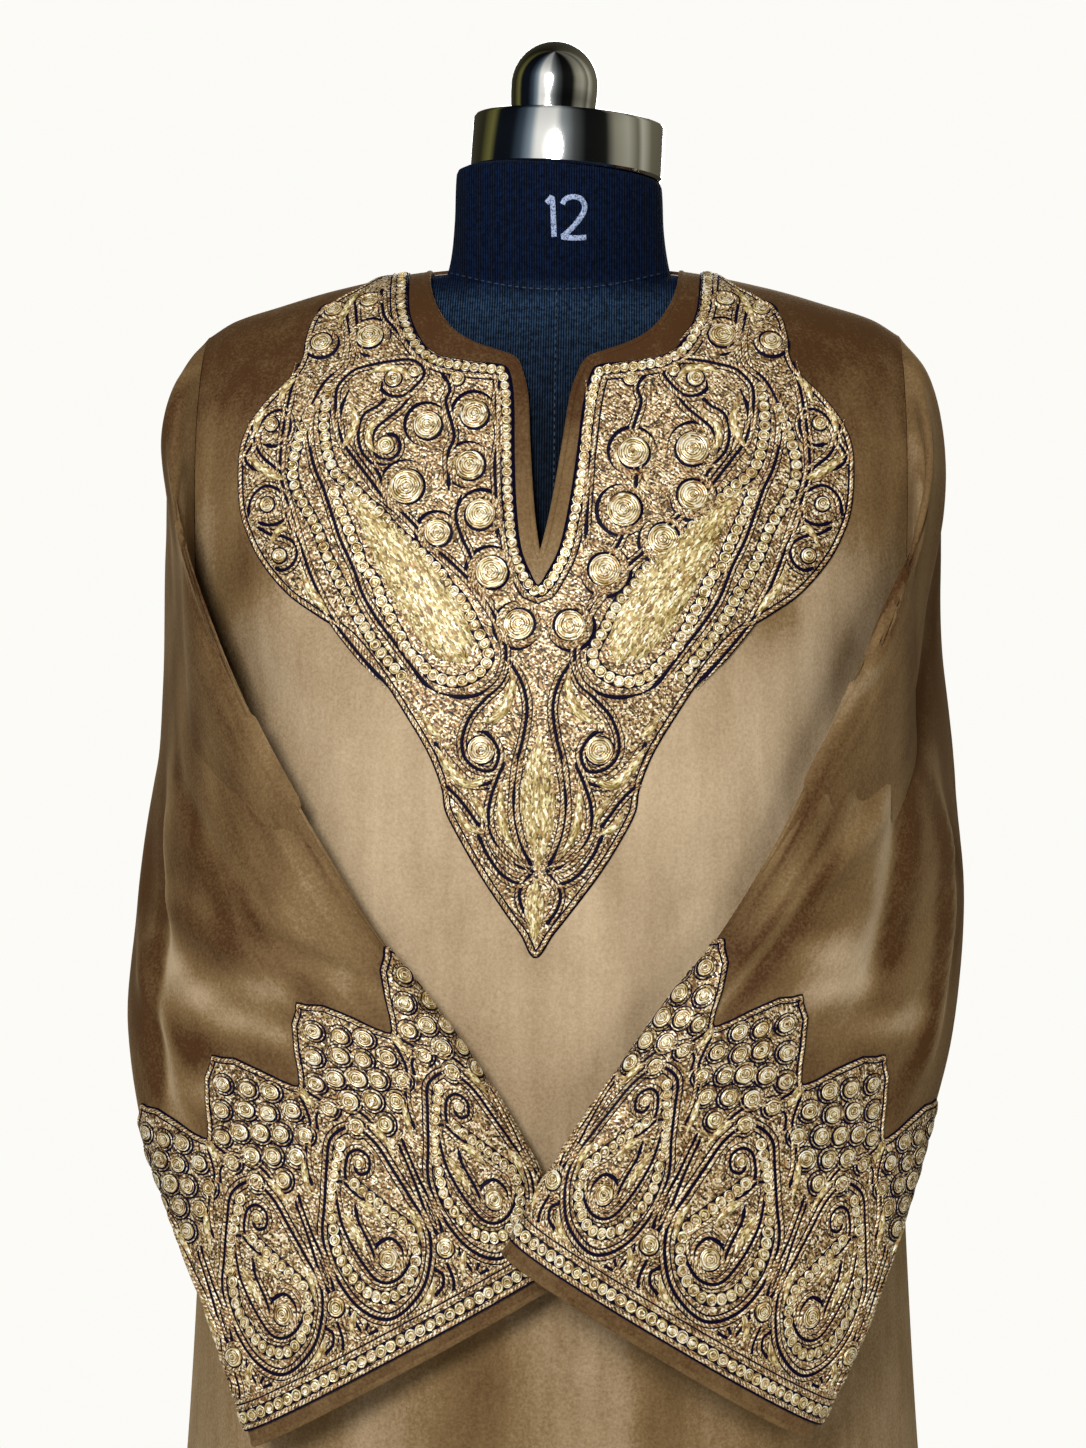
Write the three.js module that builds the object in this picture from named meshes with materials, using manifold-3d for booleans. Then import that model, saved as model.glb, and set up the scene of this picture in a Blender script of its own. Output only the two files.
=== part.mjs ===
import * as THREE from 'three';
import { mergeVertices } from 'three/addons/utils/BufferGeometryUtils.js';
import Module from 'manifold-3d';

// A pheran, a long loose velvet robe with metal thread embroidery, on a limbless dress form.
// Millimetres, +Z up, +X to the viewer's right, the front towards -Y.
// The origin is on the floor, at the middle of the stand's base.

// Driving dimensions of the robe
const CLOTH = 2;
const SEAM_GAP = 0.3;
const MIDDLE_Y = 10;
const HEM_Z = 350;
const ARMPIT_Z = 1160;
const ARMHOLE_X = 200;
const SHOULDER_TOP = 1404;
const SHOULDER_ROUNDING = 75;
const SECTION_POWER = 2.4;
const NECK_BINDING_WIDTH = 4;
const NECK_BINDING_THICKNESS = 1.4;
const EMBROIDERY_THICKNESS = 1.4;
const CUFF_PLAIN_EDGE = 10;
const CUFF_VALLEY = 160;
const CUFF_PEAK = 192;
const CUFF_REPEATS = 6;

// Driving dimensions of the dress form
const FORM_CLEARANCE = 0.5;
const FORM_BOTTOM_Z = 700;
const NECK_TOP_Z = 1456;
const NECK_TILT = THREE.MathUtils.degToRad(4);
const CAP_DIAMETER = 111;
const CAP_HEIGHT = 25;
const CAP_X = 8;
const CAP_Y = 3;
const KNOB_OFF_MIDDLE = -6;
const BALL_DIAMETER = 49;
const POLE_DIAMETER = 25;
const BASE_DIAMETER = 320;
const BASE_THICKNESS = 12;

// Height of the shoulder line by the distance from the middle
const SHOULDER = [
  { x: 0, z: 1404 },
  { x: 74, z: 1399 },
  { x: 125, z: 1389 },
  { x: 160, z: 1379 },
  { x: 185, z: 1371 },
  { x: 200, z: 1362 },
];

// The robe's body by height: depth of the front and of the back from the middle, and half width.
// Above the armpit the half width is that of the full section, which the armhole cuts at ARMHOLE_X.
const BODY = [
  { z: 1404, front: 78, back: 70, half: 234 },
  { z: 1350, front: 84, back: 86, half: 234 },
  { z: 1300, front: 104, back: 98, half: 232 },
  { z: 1250, front: 123, back: 104, half: 226 },
  { z: 1200, front: 138, back: 106, half: 214 },
  { z: 1160, front: 145, back: 106, half: 200 },
  { z: 1120, front: 148, back: 106, half: 202.5 },
  { z: 1000, front: 151, back: 109, half: 205 },
  { z: 900, front: 155, back: 118, half: 207 },
  { z: 800, front: 160, back: 128, half: 212 },
  { z: 700, front: 167, back: 137, half: 219 },
  { z: 550, front: 180, back: 150, half: 233 },
  { z: 350, front: 196, back: 166, half: 252 },
];

// Long soft folds of the body: place across as a share of the half width, height where
// they begin, width and depth at the hem
const BODY_FOLDS = [
  { side: -1, at: -0.78, from: 980, width: 34, depth: 7 },
  { side: -1, at: -0.46, from: 800, width: 42, depth: -6 },
  { side: -1, at: -0.12, from: 760, width: 46, depth: 7 },
  { side: -1, at: 0.26, from: 820, width: 40, depth: -6 },
  { side: -1, at: 0.58, from: 900, width: 38, depth: 8 },
  { side: -1, at: 0.86, from: 1000, width: 26, depth: -4 },
  { side: 1, at: -0.8, from: 900, width: 30, depth: 6 },
  { side: 1, at: -0.42, from: 1080, width: 40, depth: -9 },
  { side: 1, at: -0.05, from: 1180, width: 44, depth: 10 },
  { side: 1, at: 0.33, from: 1060, width: 38, depth: -9 },
  { side: 1, at: 0.68, from: 940, width: 36, depth: 8 },
];

// Front neckline: half width by height, round above and a narrow slit below
const FRONT_NECK = [
  { z: 1425, half: 73 },
  { z: 1391, half: 72 },
  { z: 1380, half: 69 },
  { z: 1369, half: 63.5 },
  { z: 1359, half: 55 },
  { z: 1352, half: 43.5 },
  { z: 1346.5, half: 28.5 },
  { z: 1343, half: 20.5 },
  { z: 1335, half: 16.5 },
  { z: 1322, half: 13 },
  { z: 1298, half: 10.5 },
  { z: 1272, half: 7.5 },
  { z: 1250, half: 4.2 },
  { z: 1237, half: 1.2 },
];
const NECK_MIDDLE_X = 2;
const SLIT_LEAN = 0.045;
const SLIT_TOP_Z = 1345;

// Back neckline: half width by height
const BACK_NECK = [
  { z: 1425, half: 73 },
  { z: 1391, half: 72 },
  { z: 1382, half: 66 },
  { z: 1376, half: 50 },
  { z: 1373, half: 26 },
  { z: 1372, half: 6 },
];

// Outline of the embroidered yoke: half width by height, from the shoulder down to the point
const YOKE_OUTLINE = [
  { z: 1425, half: 92 },
  { z: 1397, half: 93 },
  { z: 1388, half: 105 },
  { z: 1380, half: 118 },
  { z: 1370, half: 130 },
  { z: 1357, half: 134 },
  { z: 1345, half: 135 },
  { z: 1335, half: 140 },
  { z: 1322, half: 153 },
  { z: 1309, half: 163 },
  { z: 1296, half: 168.5 },
  { z: 1281, half: 169.5 },
  { z: 1262, half: 168 },
  { z: 1248, half: 163.5 },
  { z: 1232, half: 154.5 },
  { z: 1215, half: 139 },
  { z: 1203, half: 121 },
  { z: 1192, half: 103 },
  { z: 1172, half: 86 },
  { z: 1150, half: 71 },
  { z: 1130, half: 59 },
  { z: 1112, half: 52 },
  { z: 1100, half: 50 },
  { z: 1086, half: 43 },
  { z: 1066, half: 31 },
  { z: 1046, half: 17 },
  { z: 1034, half: 8 },
];
const YOKE_TIP = { x: -4, z: 1022 };
const YOKE_MIDDLE_X = -2;
const YOKE_MARGIN = 60;

// Inner edge of the yoke, which leaves a plain band along the neckline: half width by height
const YOKE_INNER = [
  { z: 1430, half: 84 },
  { z: 1388, half: 83 },
  { z: 1372, half: 81 },
  { z: 1360, half: 76.5 },
  { z: 1350, half: 70 },
  { z: 1344, half: 60 },
  { z: 1341, half: 44 },
  { z: 1339, half: 27 },
  { z: 1334, half: 22.5 },
  { z: 1318, half: 19.5 },
  { z: 1290, half: 17.5 },
  { z: 1264, half: 15 },
  { z: 1240, half: 11 },
  { z: 1226, half: 5 },
];
const YOKE_INNER_TIP_Z = 1219;

// Large coiled discs of the yoke: centre of the one on the left and its radius.
// Each has a like one on the other side of YOKE_MIDDLE_X.
const YOKE_DISCS = [
  { x: -76, z: 1272, radius: 9.5 },
  { x: -65, z: 1307, radius: 7.5 },
  { x: -38, z: 1313, radius: 8 },
  { x: -40, z: 1283, radius: 8 },
  { x: -34, z: 1255, radius: 8 },
  { x: -57, z: 1246, radius: 7 },
  { x: -29, z: 1226, radius: 8 },
  { x: -14, z: 1199, radius: 8 },
  { x: -99, z: 1355, radius: 7 },
  { x: -156, z: 1307, radius: 7.5 },
  { x: -152, z: 1262, radius: 6.5 },
  { x: -34, z: 1134, radius: 8 },
];
const DISC_RISE = 1.2;
const DISC_ROOT = 1.1;
const DISC_SIDES = 8;

// Sections of the two sleeves, from the armhole to the cuff. Each goes through its fold at the
// front and inner edge, the middle of its outer face, its rear fold and the middle of the layer
// that faces the body. The first section of all is the armhole itself.
const RIGHT_SLEEVE = [
  { fold: [-202, -66, 1258], face: [-219, 10, 1341], rear: [-206, 74, 1235], body: [-205, 8, 1155] },
  { fold: [-199, -84, 1234], face: [-228, 4, 1298], rear: [-211, 76, 1185], body: [-208, 0, 1138] },
  { fold: [-187, -103, 1205], face: [-227, -4, 1250], rear: [-214, 72, 1132], body: [-210, -10, 1115] },
  { fold: [-168, -118, 1168], face: [-223, -14, 1190], rear: [-214, 62, 1085], body: [-208, -24, 1095] },
  { fold: [-145, -130, 1126], face: [-221, -28, 1128], rear: [-216, 42, 1035], body: [-203, -45, 1070] },
  { fold: [-117, -141, 1080], face: [-215, -64, 1070], rear: [-228, 10, 990], body: [-192, -66, 1030] },
  { fold: [-88, -150, 1036], face: [-192, -118, 1015], rear: [-240, -34, 950], body: [-168, -94, 992] },
  { fold: [-60, -154, 1000], face: [-156, -144, 968], rear: [-232, -78, 910], body: [-146, -116, 955] },
  { fold: [-31, -156, 959], face: [-122, -160, 928], rear: [-213, -108, 870], body: [-118, -134, 915] },
  { fold: [-3, -157, 911], face: [-94, -170, 870], rear: [-188, -130, 815], body: [-90, -143, 862] },
  { fold: [26, -157, 862], face: [-69, -172, 808], rear: [-165, -146, 756], body: [-69, -149, 811] },
];
const LEFT_SLEEVE = [
  { fold: [202, -66, 1258], face: [219, 10, 1340], rear: [206, 74, 1235], body: [205, 8, 1155] },
  { fold: [199, -84, 1236], face: [227, 4, 1296], rear: [211, 76, 1185], body: [208, 0, 1138] },
  { fold: [189, -103, 1210], face: [226, -4, 1250], rear: [212, 72, 1132], body: [210, -10, 1115] },
  { fold: [171, -120, 1176], face: [221, -14, 1190], rear: [213, 62, 1085], body: [208, -24, 1095] },
  { fold: [148, -134, 1134], face: [218, -32, 1128], rear: [214, 42, 1035], body: [203, -47, 1070] },
  { fold: [122, -150, 1084], face: [212, -72, 1070], rear: [222, 8, 990], body: [190, -70, 1030] },
  { fold: [92, -167, 1038], face: [184, -130, 1015], rear: [226, -42, 950], body: [164, -102, 992] },
  { fold: [62, -180, 1000], face: [146, -160, 965], rear: [218, -86, 912], body: [140, -126, 955] },
  { fold: [34, -186, 961], face: [118, -178, 925], rear: [204, -116, 872], body: [116, -144, 915] },
  { fold: [6, -190, 918], face: [92, -190, 870], rear: [182, -138, 820], body: [92, -158, 866] },
  { fold: [-20, -192, 876], face: [67, -196, 820], rear: [154, -156, 768], body: [67, -167, 822] },
];
const SLEEVE_SQUARENESS = 0.88;

// Largest folds of the sleeves: each runs from one angle and share along to another.
// Angle 0 is the front fold and 90 the outer face; width in degrees, depth below 0 for a crease.
const RIGHT_SLEEVE_FOLDS = [
  { angle: 100, along: 0.46, toAngle: 120, toAlong: 0.6, width: 15, depth: -5 },
  { angle: 132, along: 0.44, toAngle: 144, toAlong: 0.6, width: 18, depth: 4 },
  { angle: 100, along: 0.5, toAngle: 66, toAlong: 0.6, width: 15, depth: 4 },
  { angle: 52, along: 0.2, toAngle: 78, toAlong: 0.46, width: 20, depth: -3 },
];
const LEFT_SLEEVE_FOLDS = [
  { angle: 88, along: 0.3, toAngle: 74, toAlong: 0.58, width: 15, depth: -5 },
  { angle: 60, along: 0.46, toAngle: 44, toAlong: 0.58, width: 15, depth: -6 },
  { angle: 12, along: 0.28, toAngle: 26, toAlong: 0.48, width: 15, depth: -4 },
  { angle: 94, along: 0.44, toAngle: 120, toAlong: 0.6, width: 15, depth: -5 },
  { angle: 110, along: 0.36, toAngle: 112, toAlong: 0.58, width: 18, depth: 4 },
];
const FOLD_FADE = 0.07;

// The dress form's torso by height, measured as the robe's body is
const TORSO = [
  { z: 1404, front: 74, back: 67, half: 192 },
  { z: 1350, front: 80, back: 82, half: 190 },
  { z: 1300, front: 98, back: 93, half: 184 },
  { z: 1250, front: 112, back: 97, half: 176 },
  { z: 1180, front: 112, back: 94, half: 164 },
  { z: 1100, front: 98, back: 84, half: 144 },
  { z: 1020, front: 88, back: 78, half: 130 },
  { z: 940, front: 96, back: 88, half: 144 },
  { z: 850, front: 108, back: 104, half: 168 },
  { z: 760, front: 106, back: 106, half: 170 },
  { z: 700, front: 98, back: 98, half: 160 },
];

// The dress form's neck by height: middle, half width and half depth
const NECK = [
  { z: 1330, x: 3, y: 4, half: 62, deep: 54 },
  { z: 1378, x: 3, y: 8, half: 74, deep: 57 },
  { z: 1391, x: 3.5, y: 7, half: 67, deep: 56 },
  { z: 1404, x: 4, y: 5, half: 63, deep: 57 },
  { z: 1424, x: 4, y: 4, half: 60.5, deep: 58 },
  { z: 1451, x: 4, y: 4, half: 59.5, deep: 58 },
  { z: 1456, x: 4, y: 4, half: 57, deep: 56 },
];

const wasm = await Module();
wasm.setup();

const clamp = THREE.MathUtils.clamp;
const lerp = THREE.MathUtils.lerp;
const smoothstep = THREE.MathUtils.smoothstep;

// Smooth curve through four values, between the second and the third
function throughFour(before, from, to, after, share) {
  const fromSlope = (to - before) / 2;
  const toSlope = (after - from) / 2;
  const square = share * share;
  const cube = square * share;
  return (2 * cube - 3 * square + 1) * from + (cube - 2 * square + share) * fromSlope
    + (3 * square - 2 * cube) * to + (cube - square) * toSlope;
}

// Value of a table's column at a place on its key column, smoothly between rows
function lookUp(table, key, column, place) {
  const rising = table[0][key] < table[table.length - 1][key];
  const rows = rising ? table : [...table].reverse();
  const last = rows.length - 1;
  if (place <= rows[0][key]) return rows[0][column];
  if (place >= rows[last][key]) return rows[last][column];
  const i = rows.findIndex((row) => row[key] > place) - 1;
  const span = rows[i + 1][key] - rows[i][key];
  const slopeAt = (k) => {
    const low = rows[Math.max(k - 1, 0)];
    const high = rows[Math.min(k + 1, last)];
    return (high[column] - low[column]) / (high[key] - low[key]);
  };
  const from = rows[i][column];
  const to = rows[i + 1][column];
  const share = (place - rows[i][key]) / span;
  return throughFour(to - 2 * span * slopeAt(i), from, to, from + 2 * span * slopeAt(i + 1), share);
}

const shoulderZ = (x) => lookUp(SHOULDER, 'x', 'z', Math.abs(x));

// How far the shoulder's rounding lets a point below the shoulder line stand out, 0 to 1
function roundingAt(drop) {
  if (drop >= SHOULDER_ROUNDING) return 1;
  const rest = 1 - Math.max(drop, 0) / SHOULDER_ROUNDING;
  return Math.sqrt(1 - rest * rest);
}

// Y of the body's surface, side -1 for the front and 1 for the back
function sectionY(table, side, x, z, top) {
  const half = lookUp(table, 'z', 'half', z);
  const depth = lookUp(table, 'z', side < 0 ? 'front' : 'back', z);
  const share = Math.min(Math.abs(x) / half, 1);
  return MIDDLE_Y + side * depth * roundingAt(top - z) * Math.sqrt(1 - share ** SECTION_POWER);
}

function foldRise(side, share, z) {
  let rise = 0;
  for (const fold of BODY_FOLDS) {
    if (fold.side !== side) continue;
    const across = (share - fold.at) * lookUp(BODY, 'z', 'half', z) / fold.width;
    const down = smoothstep(fold.from - z, 0, fold.from - HEM_Z);
    rise += fold.depth * down * Math.exp(-across * across);
  }
  return rise * (1 - share ** 8);
}

const bodyHalf = (z) => (z > ARMPIT_Z ? ARMHOLE_X : lookUp(BODY, 'z', 'half', z));

// Point of the robe's body for a share across, -1 to 1, and a drop below the shoulder line
function bodyPoint(side, across, drop) {
  const top = shoulderZ(across * ARMHOLE_X);
  const z = top - drop * (top - HEM_Z) / (SHOULDER_TOP - HEM_Z);
  const x = across * bodyHalf(z);
  const y = sectionY(BODY, side, x, z, top);
  return new THREE.Vector3(x, y + side * foldRise(side, across, z), z);
}

// Direction out of a surface at two parameters, from neighbouring points inside their ranges
function outward(point, a, b, aRange, bRange, inside) {
  const step = 1e-3;
  const aStep = step * (aRange[1] - aRange[0]);
  const bStep = step * (bRange[1] - bRange[0]);
  const a0 = clamp(a - aStep, aRange[0], aRange[1]);
  const a1 = clamp(a + aStep, aRange[0], aRange[1]);
  const b0 = clamp(b - bStep, bRange[0], bRange[1]);
  const b1 = clamp(b + bStep, bRange[0], bRange[1]);
  const alongA = point(a1, b).sub(point(a0, b));
  const alongB = point(a, b1).sub(point(a, b0));
  const normal = alongA.cross(alongB).normalize();
  const away = point(a, b).sub(inside);
  return normal.dot(away) < 0 ? normal.negate() : normal;
}

// Closed body between an outer and an inner grid of points; wrap joins the last column to the first
function wallBetween(outer, inner, wrap) {
  const rows = outer.length;
  const columns = outer[0].length;
  const positions = [];
  for (const grid of [outer, inner]) {
    for (const row of grid) {
      for (const p of row) positions.push(p.x, p.y, p.z);
    }
  }
  const index = [];
  const at = (layer, i, j) => layer * rows * columns + i * columns + (j % columns);
  const quad = (a, b, c, d) => index.push(a, b, c, a, c, d);
  const steps = wrap ? columns : columns - 1;
  for (let i = 0; i < rows - 1; i++) {
    for (let j = 0; j < steps; j++) {
      quad(at(0, i, j), at(0, i, j + 1), at(0, i + 1, j + 1), at(0, i + 1, j));
      quad(at(1, i, j), at(1, i + 1, j), at(1, i + 1, j + 1), at(1, i, j + 1));
    }
  }
  for (let j = 0; j < steps; j++) {
    quad(at(0, 0, j), at(1, 0, j), at(1, 0, j + 1), at(0, 0, j + 1));
    quad(at(0, rows - 1, j), at(0, rows - 1, j + 1), at(1, rows - 1, j + 1), at(1, rows - 1, j));
  }
  if (!wrap) {
    for (let i = 0; i < rows - 1; i++) {
      quad(at(0, i, 0), at(0, i + 1, 0), at(1, i + 1, 0), at(1, i, 0));
      quad(at(0, i, steps), at(1, i, steps), at(1, i + 1, steps), at(0, i + 1, steps));
    }
  }
  return facingOut(positions, index);
}

// Geometry whose faces point out, whichever way its triangles were listed
function facingOut(positions, index) {
  let volume = 0;
  const corner = (k) => new THREE.Vector3().fromArray(positions, 3 * k);
  for (let i = 0; i < index.length; i += 3) {
    volume += corner(index[i]).dot(corner(index[i + 1]).cross(corner(index[i + 2])));
  }
  if (volume < 0) index.reverse();
  const geometry = new THREE.BufferGeometry();
  geometry.setAttribute('position', new THREE.Float32BufferAttribute(positions, 3));
  geometry.setIndex(index);
  return geometry;
}

function toSolid(geometry) {
  const bare = geometry.clone();
  bare.deleteAttribute('normal');
  bare.deleteAttribute('uv');
  const merged = mergeVertices(bare, 1e-4);
  return new wasm.Manifold(new wasm.Mesh({
    numProp: 3,
    vertProperties: new Float32Array(merged.attributes.position.array),
    triVerts: new Uint32Array(merged.index.array),
  }));
}

function toGeometry(solid) {
  const mesh = solid.getMesh();
  const geometry = new THREE.BufferGeometry();
  geometry.setAttribute('position', new THREE.Float32BufferAttribute(mesh.vertProperties, 3));
  geometry.setIndex([...mesh.triVerts]);
  return geometry;
}

// Upright outline in X and Z, carried through Y from one depth to another
function prism(outline, fromY, toY) {
  const shape = new THREE.Shape(outline.map((p) => new THREE.Vector2(p.x, p.z)));
  const geometry = new THREE.ExtrudeGeometry(shape, { depth: toY - fromY, bevelEnabled: false });
  geometry.rotateX(Math.PI / 2);
  geometry.translate(0, toY, 0);
  return toSolid(geometry);
}

// Closed outline from half widths by height, its middle leaning by middleAt(z)
function outlineOf(table, middleAt, tips) {
  const left = table.map((row) => ({ x: middleAt(row.z) - row.half, z: row.z }));
  const right = table.map((row) => ({ x: middleAt(row.z) + row.half, z: row.z }));
  return [...left, ...tips, ...right.reverse()];
}

// Half widths made wider by a margin square to the outline
function widened(table, margin) {
  return table.map((row, i) => {
    const above = table[Math.max(i - 1, 0)];
    const below = table[Math.min(i + 1, table.length - 1)];
    const run = new THREE.Vector2(above.half - below.half, above.z - below.z).normalize();
    return { z: row.z - margin * run.x, half: row.half + margin * run.y };
  });
}

const neckMiddle = (z) => NECK_MIDDLE_X - SLIT_LEAN * Math.max(SLIT_TOP_Z - z, 0);
const yokeMiddle = () => YOKE_MIDDLE_X;

// Rows of the body by drop: close together over the shoulder, then down to the hem
function bodyDrops(roundRows, chestRows, skirtRows) {
  const drops = [];
  for (let i = 0; i < roundRows; i++) {
    drops.push(SHOULDER_ROUNDING * (1 - Math.cos((i / roundRows) * Math.PI / 2)));
  }
  const chestEnd = SHOULDER_TOP - ARMPIT_Z;
  for (let i = 0; i < chestRows; i++) drops.push(lerp(SHOULDER_ROUNDING, chestEnd, i / chestRows));
  for (let i = 0; i <= skirtRows; i++) drops.push(lerp(chestEnd, SHOULDER_TOP - HEM_Z, i / skirtRows));
  return drops;
}

// Shares across, closer together towards the side seams
function acrossShares(count) {
  return Array.from({ length: count + 1 }, (_, i) => Math.sin((i / count - 0.5) * Math.PI));
}

// Panel of the body between two heights over its surface
function bodyShell(side, drops, shares, fromRise, toRise) {
  const point = (a, b) => bodyPoint(side, a, b);
  const depthRange = [0, SHOULDER_TOP - HEM_Z];
  const rise = (a, b, height) => {
    const inside = new THREE.Vector3(0, MIDDLE_Y, Math.min(point(a, b).z, SHOULDER_TOP - SHOULDER_ROUNDING));
    const out = outward(point, a, b, [-1, 1], depthRange, inside);
    const moved = point(a, b).addScaledVector(out, height);
    moved.y = side < 0 ? Math.min(moved.y, MIDDLE_Y) : Math.max(moved.y, MIDDLE_Y);
    moved.y += side * SEAM_GAP / 2;
    return moved;
  };
  const outer = drops.map((b) => shares.map((a) => rise(a, b, toRise)));
  const inner = drops.map((b) => shares.map((a) => rise(a, b, fromRise)));
  return toSolid(wallBetween(outer, inner, false));
}

const FAR_Y = 260;
const frontNeckCut = prism(outlineOf(FRONT_NECK, neckMiddle, []), -FAR_Y, MIDDLE_Y);
const backNeckCut = prism(outlineOf(BACK_NECK, neckMiddle, []), MIDDLE_Y, FAR_Y);

const PANEL_DROPS = bodyDrops(5, 6, 11);
const PANEL_SHARES = acrossShares(20);
const frontPanel = bodyShell(-1, PANEL_DROPS, PANEL_SHARES, -CLOTH, 0).subtract(frontNeckCut);
const backPanel = bodyShell(1, PANEL_DROPS, PANEL_SHARES, -CLOTH, 0).subtract(backNeckCut);

// Narrow binding that lies on a panel along the neckline
function neckBinding(side, table, neckCut) {
  const drops = PANEL_DROPS.filter((drop) => drop < SHOULDER_TOP - ARMPIT_Z);
  const shares = PANEL_SHARES.filter((share) => Math.abs(share) < 0.6);
  const shell = bodyShell(side, drops, shares, SEAM_GAP, SEAM_GAP + NECK_BINDING_THICKNESS);
  const wide = outlineOf(widened(table, NECK_BINDING_WIDTH), neckMiddle, []);
  const band = prism(wide, side < 0 ? -FAR_Y : MIDDLE_Y, side < 0 ? MIDDLE_Y : FAR_Y);
  return shell.intersect(band).subtract(neckCut);
}

// Low dome on the embroidered yoke where a large coiled disc lies
function yokeDisc(x, z, radius) {
  const across = x / ARMHOLE_X;
  const top = shoulderZ(x);
  const drop = (top - z) * (SHOULDER_TOP - HEM_Z) / (top - HEM_Z);
  const point = (a, b) => bodyPoint(-1, a, b);
  const inside = new THREE.Vector3(0, MIDDLE_Y, Math.min(z, SHOULDER_TOP - SHOULDER_ROUNDING));
  const out = outward(point, across, drop, [-1, 1], [0, SHOULDER_TOP - HEM_Z], inside);
  const rise = SEAM_GAP + EMBROIDERY_THICKNESS;
  const profile = [
    new THREE.Vector2(0, -DISC_ROOT),
    new THREE.Vector2(radius, -DISC_ROOT),
    new THREE.Vector2(radius, 0),
    new THREE.Vector2(0.6 * radius, DISC_RISE),
    new THREE.Vector2(0, DISC_RISE),
  ];
  const dome = new THREE.LatheGeometry(profile, DISC_SIDES);
  const turn = new THREE.Quaternion().setFromUnitVectors(new THREE.Vector3(0, 1, 0), out);
  dome.applyQuaternion(turn);
  const place = point(across, drop).addScaledVector(out, rise);
  dome.translate(place.x, place.y - SEAM_GAP / 2, place.z);
  return toSolid(dome);
}

function yokeEmbroidery() {
  const drops = PANEL_DROPS.filter((drop) => drop < SHOULDER_TOP - YOKE_TIP.z + YOKE_MARGIN);
  const shares = PANEL_SHARES.filter((share) => Math.abs(share) < 0.99);
  const shell = bodyShell(-1, drops, shares, SEAM_GAP, SEAM_GAP + EMBROIDERY_THICKNESS);
  const outline = prism(outlineOf(YOKE_OUTLINE, yokeMiddle, [YOKE_TIP]), -FAR_Y, MIDDLE_Y);
  const innerTip = { x: neckMiddle(YOKE_INNER_TIP_Z), z: YOKE_INNER_TIP_Z };
  const opening = prism(outlineOf(YOKE_INNER, neckMiddle, [innerTip]), -FAR_Y, MIDDLE_Y);
  let solid = shell.intersect(outline).subtract(opening);
  for (const disc of YOKE_DISCS) {
    for (const turned of [1, -1]) {
      const x = YOKE_MIDDLE_X + turned * (disc.x - YOKE_MIDDLE_X);
      solid = solid.add(yokeDisc(x, disc.z, disc.radius));
    }
  }
  return solid;
}

const softened = (value) => Math.sign(value) * Math.abs(value) ** SLEEVE_SQUARENESS;

// Point of the armhole at an angle: 0 at the front, a quarter turn at the top
function armholePoint(sign, angle) {
  const top = shoulderZ(ARMHOLE_X);
  const z = lerp(ARMPIT_Z, top, (1 + Math.sin(angle)) / 2);
  const side = Math.cos(angle) > 0 ? -1 : 1;
  const y = sectionY(BODY, side, ARMHOLE_X, z, top);
  return new THREE.Vector3(sign * (ARMHOLE_X + SEAM_GAP), y, z);
}

// Point of one section of a sleeve at an angle
function sectionPoint(section, angle) {
  const fold = new THREE.Vector3(...section.fold);
  const rear = new THREE.Vector3(...section.rear);
  const middle = fold.clone().add(rear).multiplyScalar(0.5);
  const raised = new THREE.Vector3(...(Math.sin(angle) > 0 ? section.face : section.body)).sub(middle);
  return middle.clone()
    .addScaledVector(fold.sub(middle), softened(Math.cos(angle)))
    .addScaledVector(raised, Math.abs(softened(Math.sin(angle))));
}

// Point of a sleeve's plain tube at an angle, along it from 0 at the armhole to 1 at the cuff
function tubePoint(sleeve, angle, along) {
  const sections = sleeve.sections;
  const place = clamp(along, 0, 1) * sections.length;
  const i = Math.min(Math.floor(place), sections.length - 1);
  const at = (k) => {
    if (k <= 0) return armholePoint(sleeve.sign, angle);
    return sectionPoint(sections[Math.min(k, sections.length) - 1], angle);
  };
  const before = i === 0 ? at(0).multiplyScalar(2).sub(at(1)) : at(i - 1);
  const after = i + 2 > sections.length ? at(i + 1).multiplyScalar(2).sub(at(i)) : at(i + 2);
  const from = at(i);
  const to = at(i + 1);
  const share = place - i;
  return new THREE.Vector3(
    throughFour(before.x, from.x, to.x, after.x, share),
    throughFour(before.y, from.y, to.y, after.y, share),
    throughFour(before.z, from.z, to.z, after.z, share),
  );
}

// How far a sleeve's folds move its wall out at a place
function sleeveFoldRise(sleeve, angle, along) {
  const degrees = THREE.MathUtils.radToDeg(angle) % 360;
  let rise = 0;
  for (const fold of sleeve.folds) {
    const share = clamp((along - fold.along) / (fold.toAlong - fold.along), 0, 1);
    const middle = lerp(fold.angle, fold.toAngle, share);
    const off = (degrees - middle) / fold.width;
    const near = smoothstep(along, fold.along - FOLD_FADE, fold.along + FOLD_FADE)
      * (1 - smoothstep(along, fold.toAlong - FOLD_FADE, fold.toAlong + FOLD_FADE));
    rise += fold.depth * near * Math.exp(-off * off);
  }
  return rise;
}

// A sleeve's point moved out by a height; at the armhole it stays in the armhole's plane
function sleevePoint(sleeve, angle, along, height) {
  const point = (a, b) => tubePoint(sleeve, a, b);
  const inside = point(angle, along).add(point(angle + Math.PI, along)).multiplyScalar(0.5);
  const out = outward(point, angle, along, [angle - 1, angle + 1], [0, 1], inside);
  if (along === 0) out.setX(0).normalize();
  return point(angle, along).addScaledVector(out, height + sleeveFoldRise(sleeve, angle, along));
}

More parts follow.
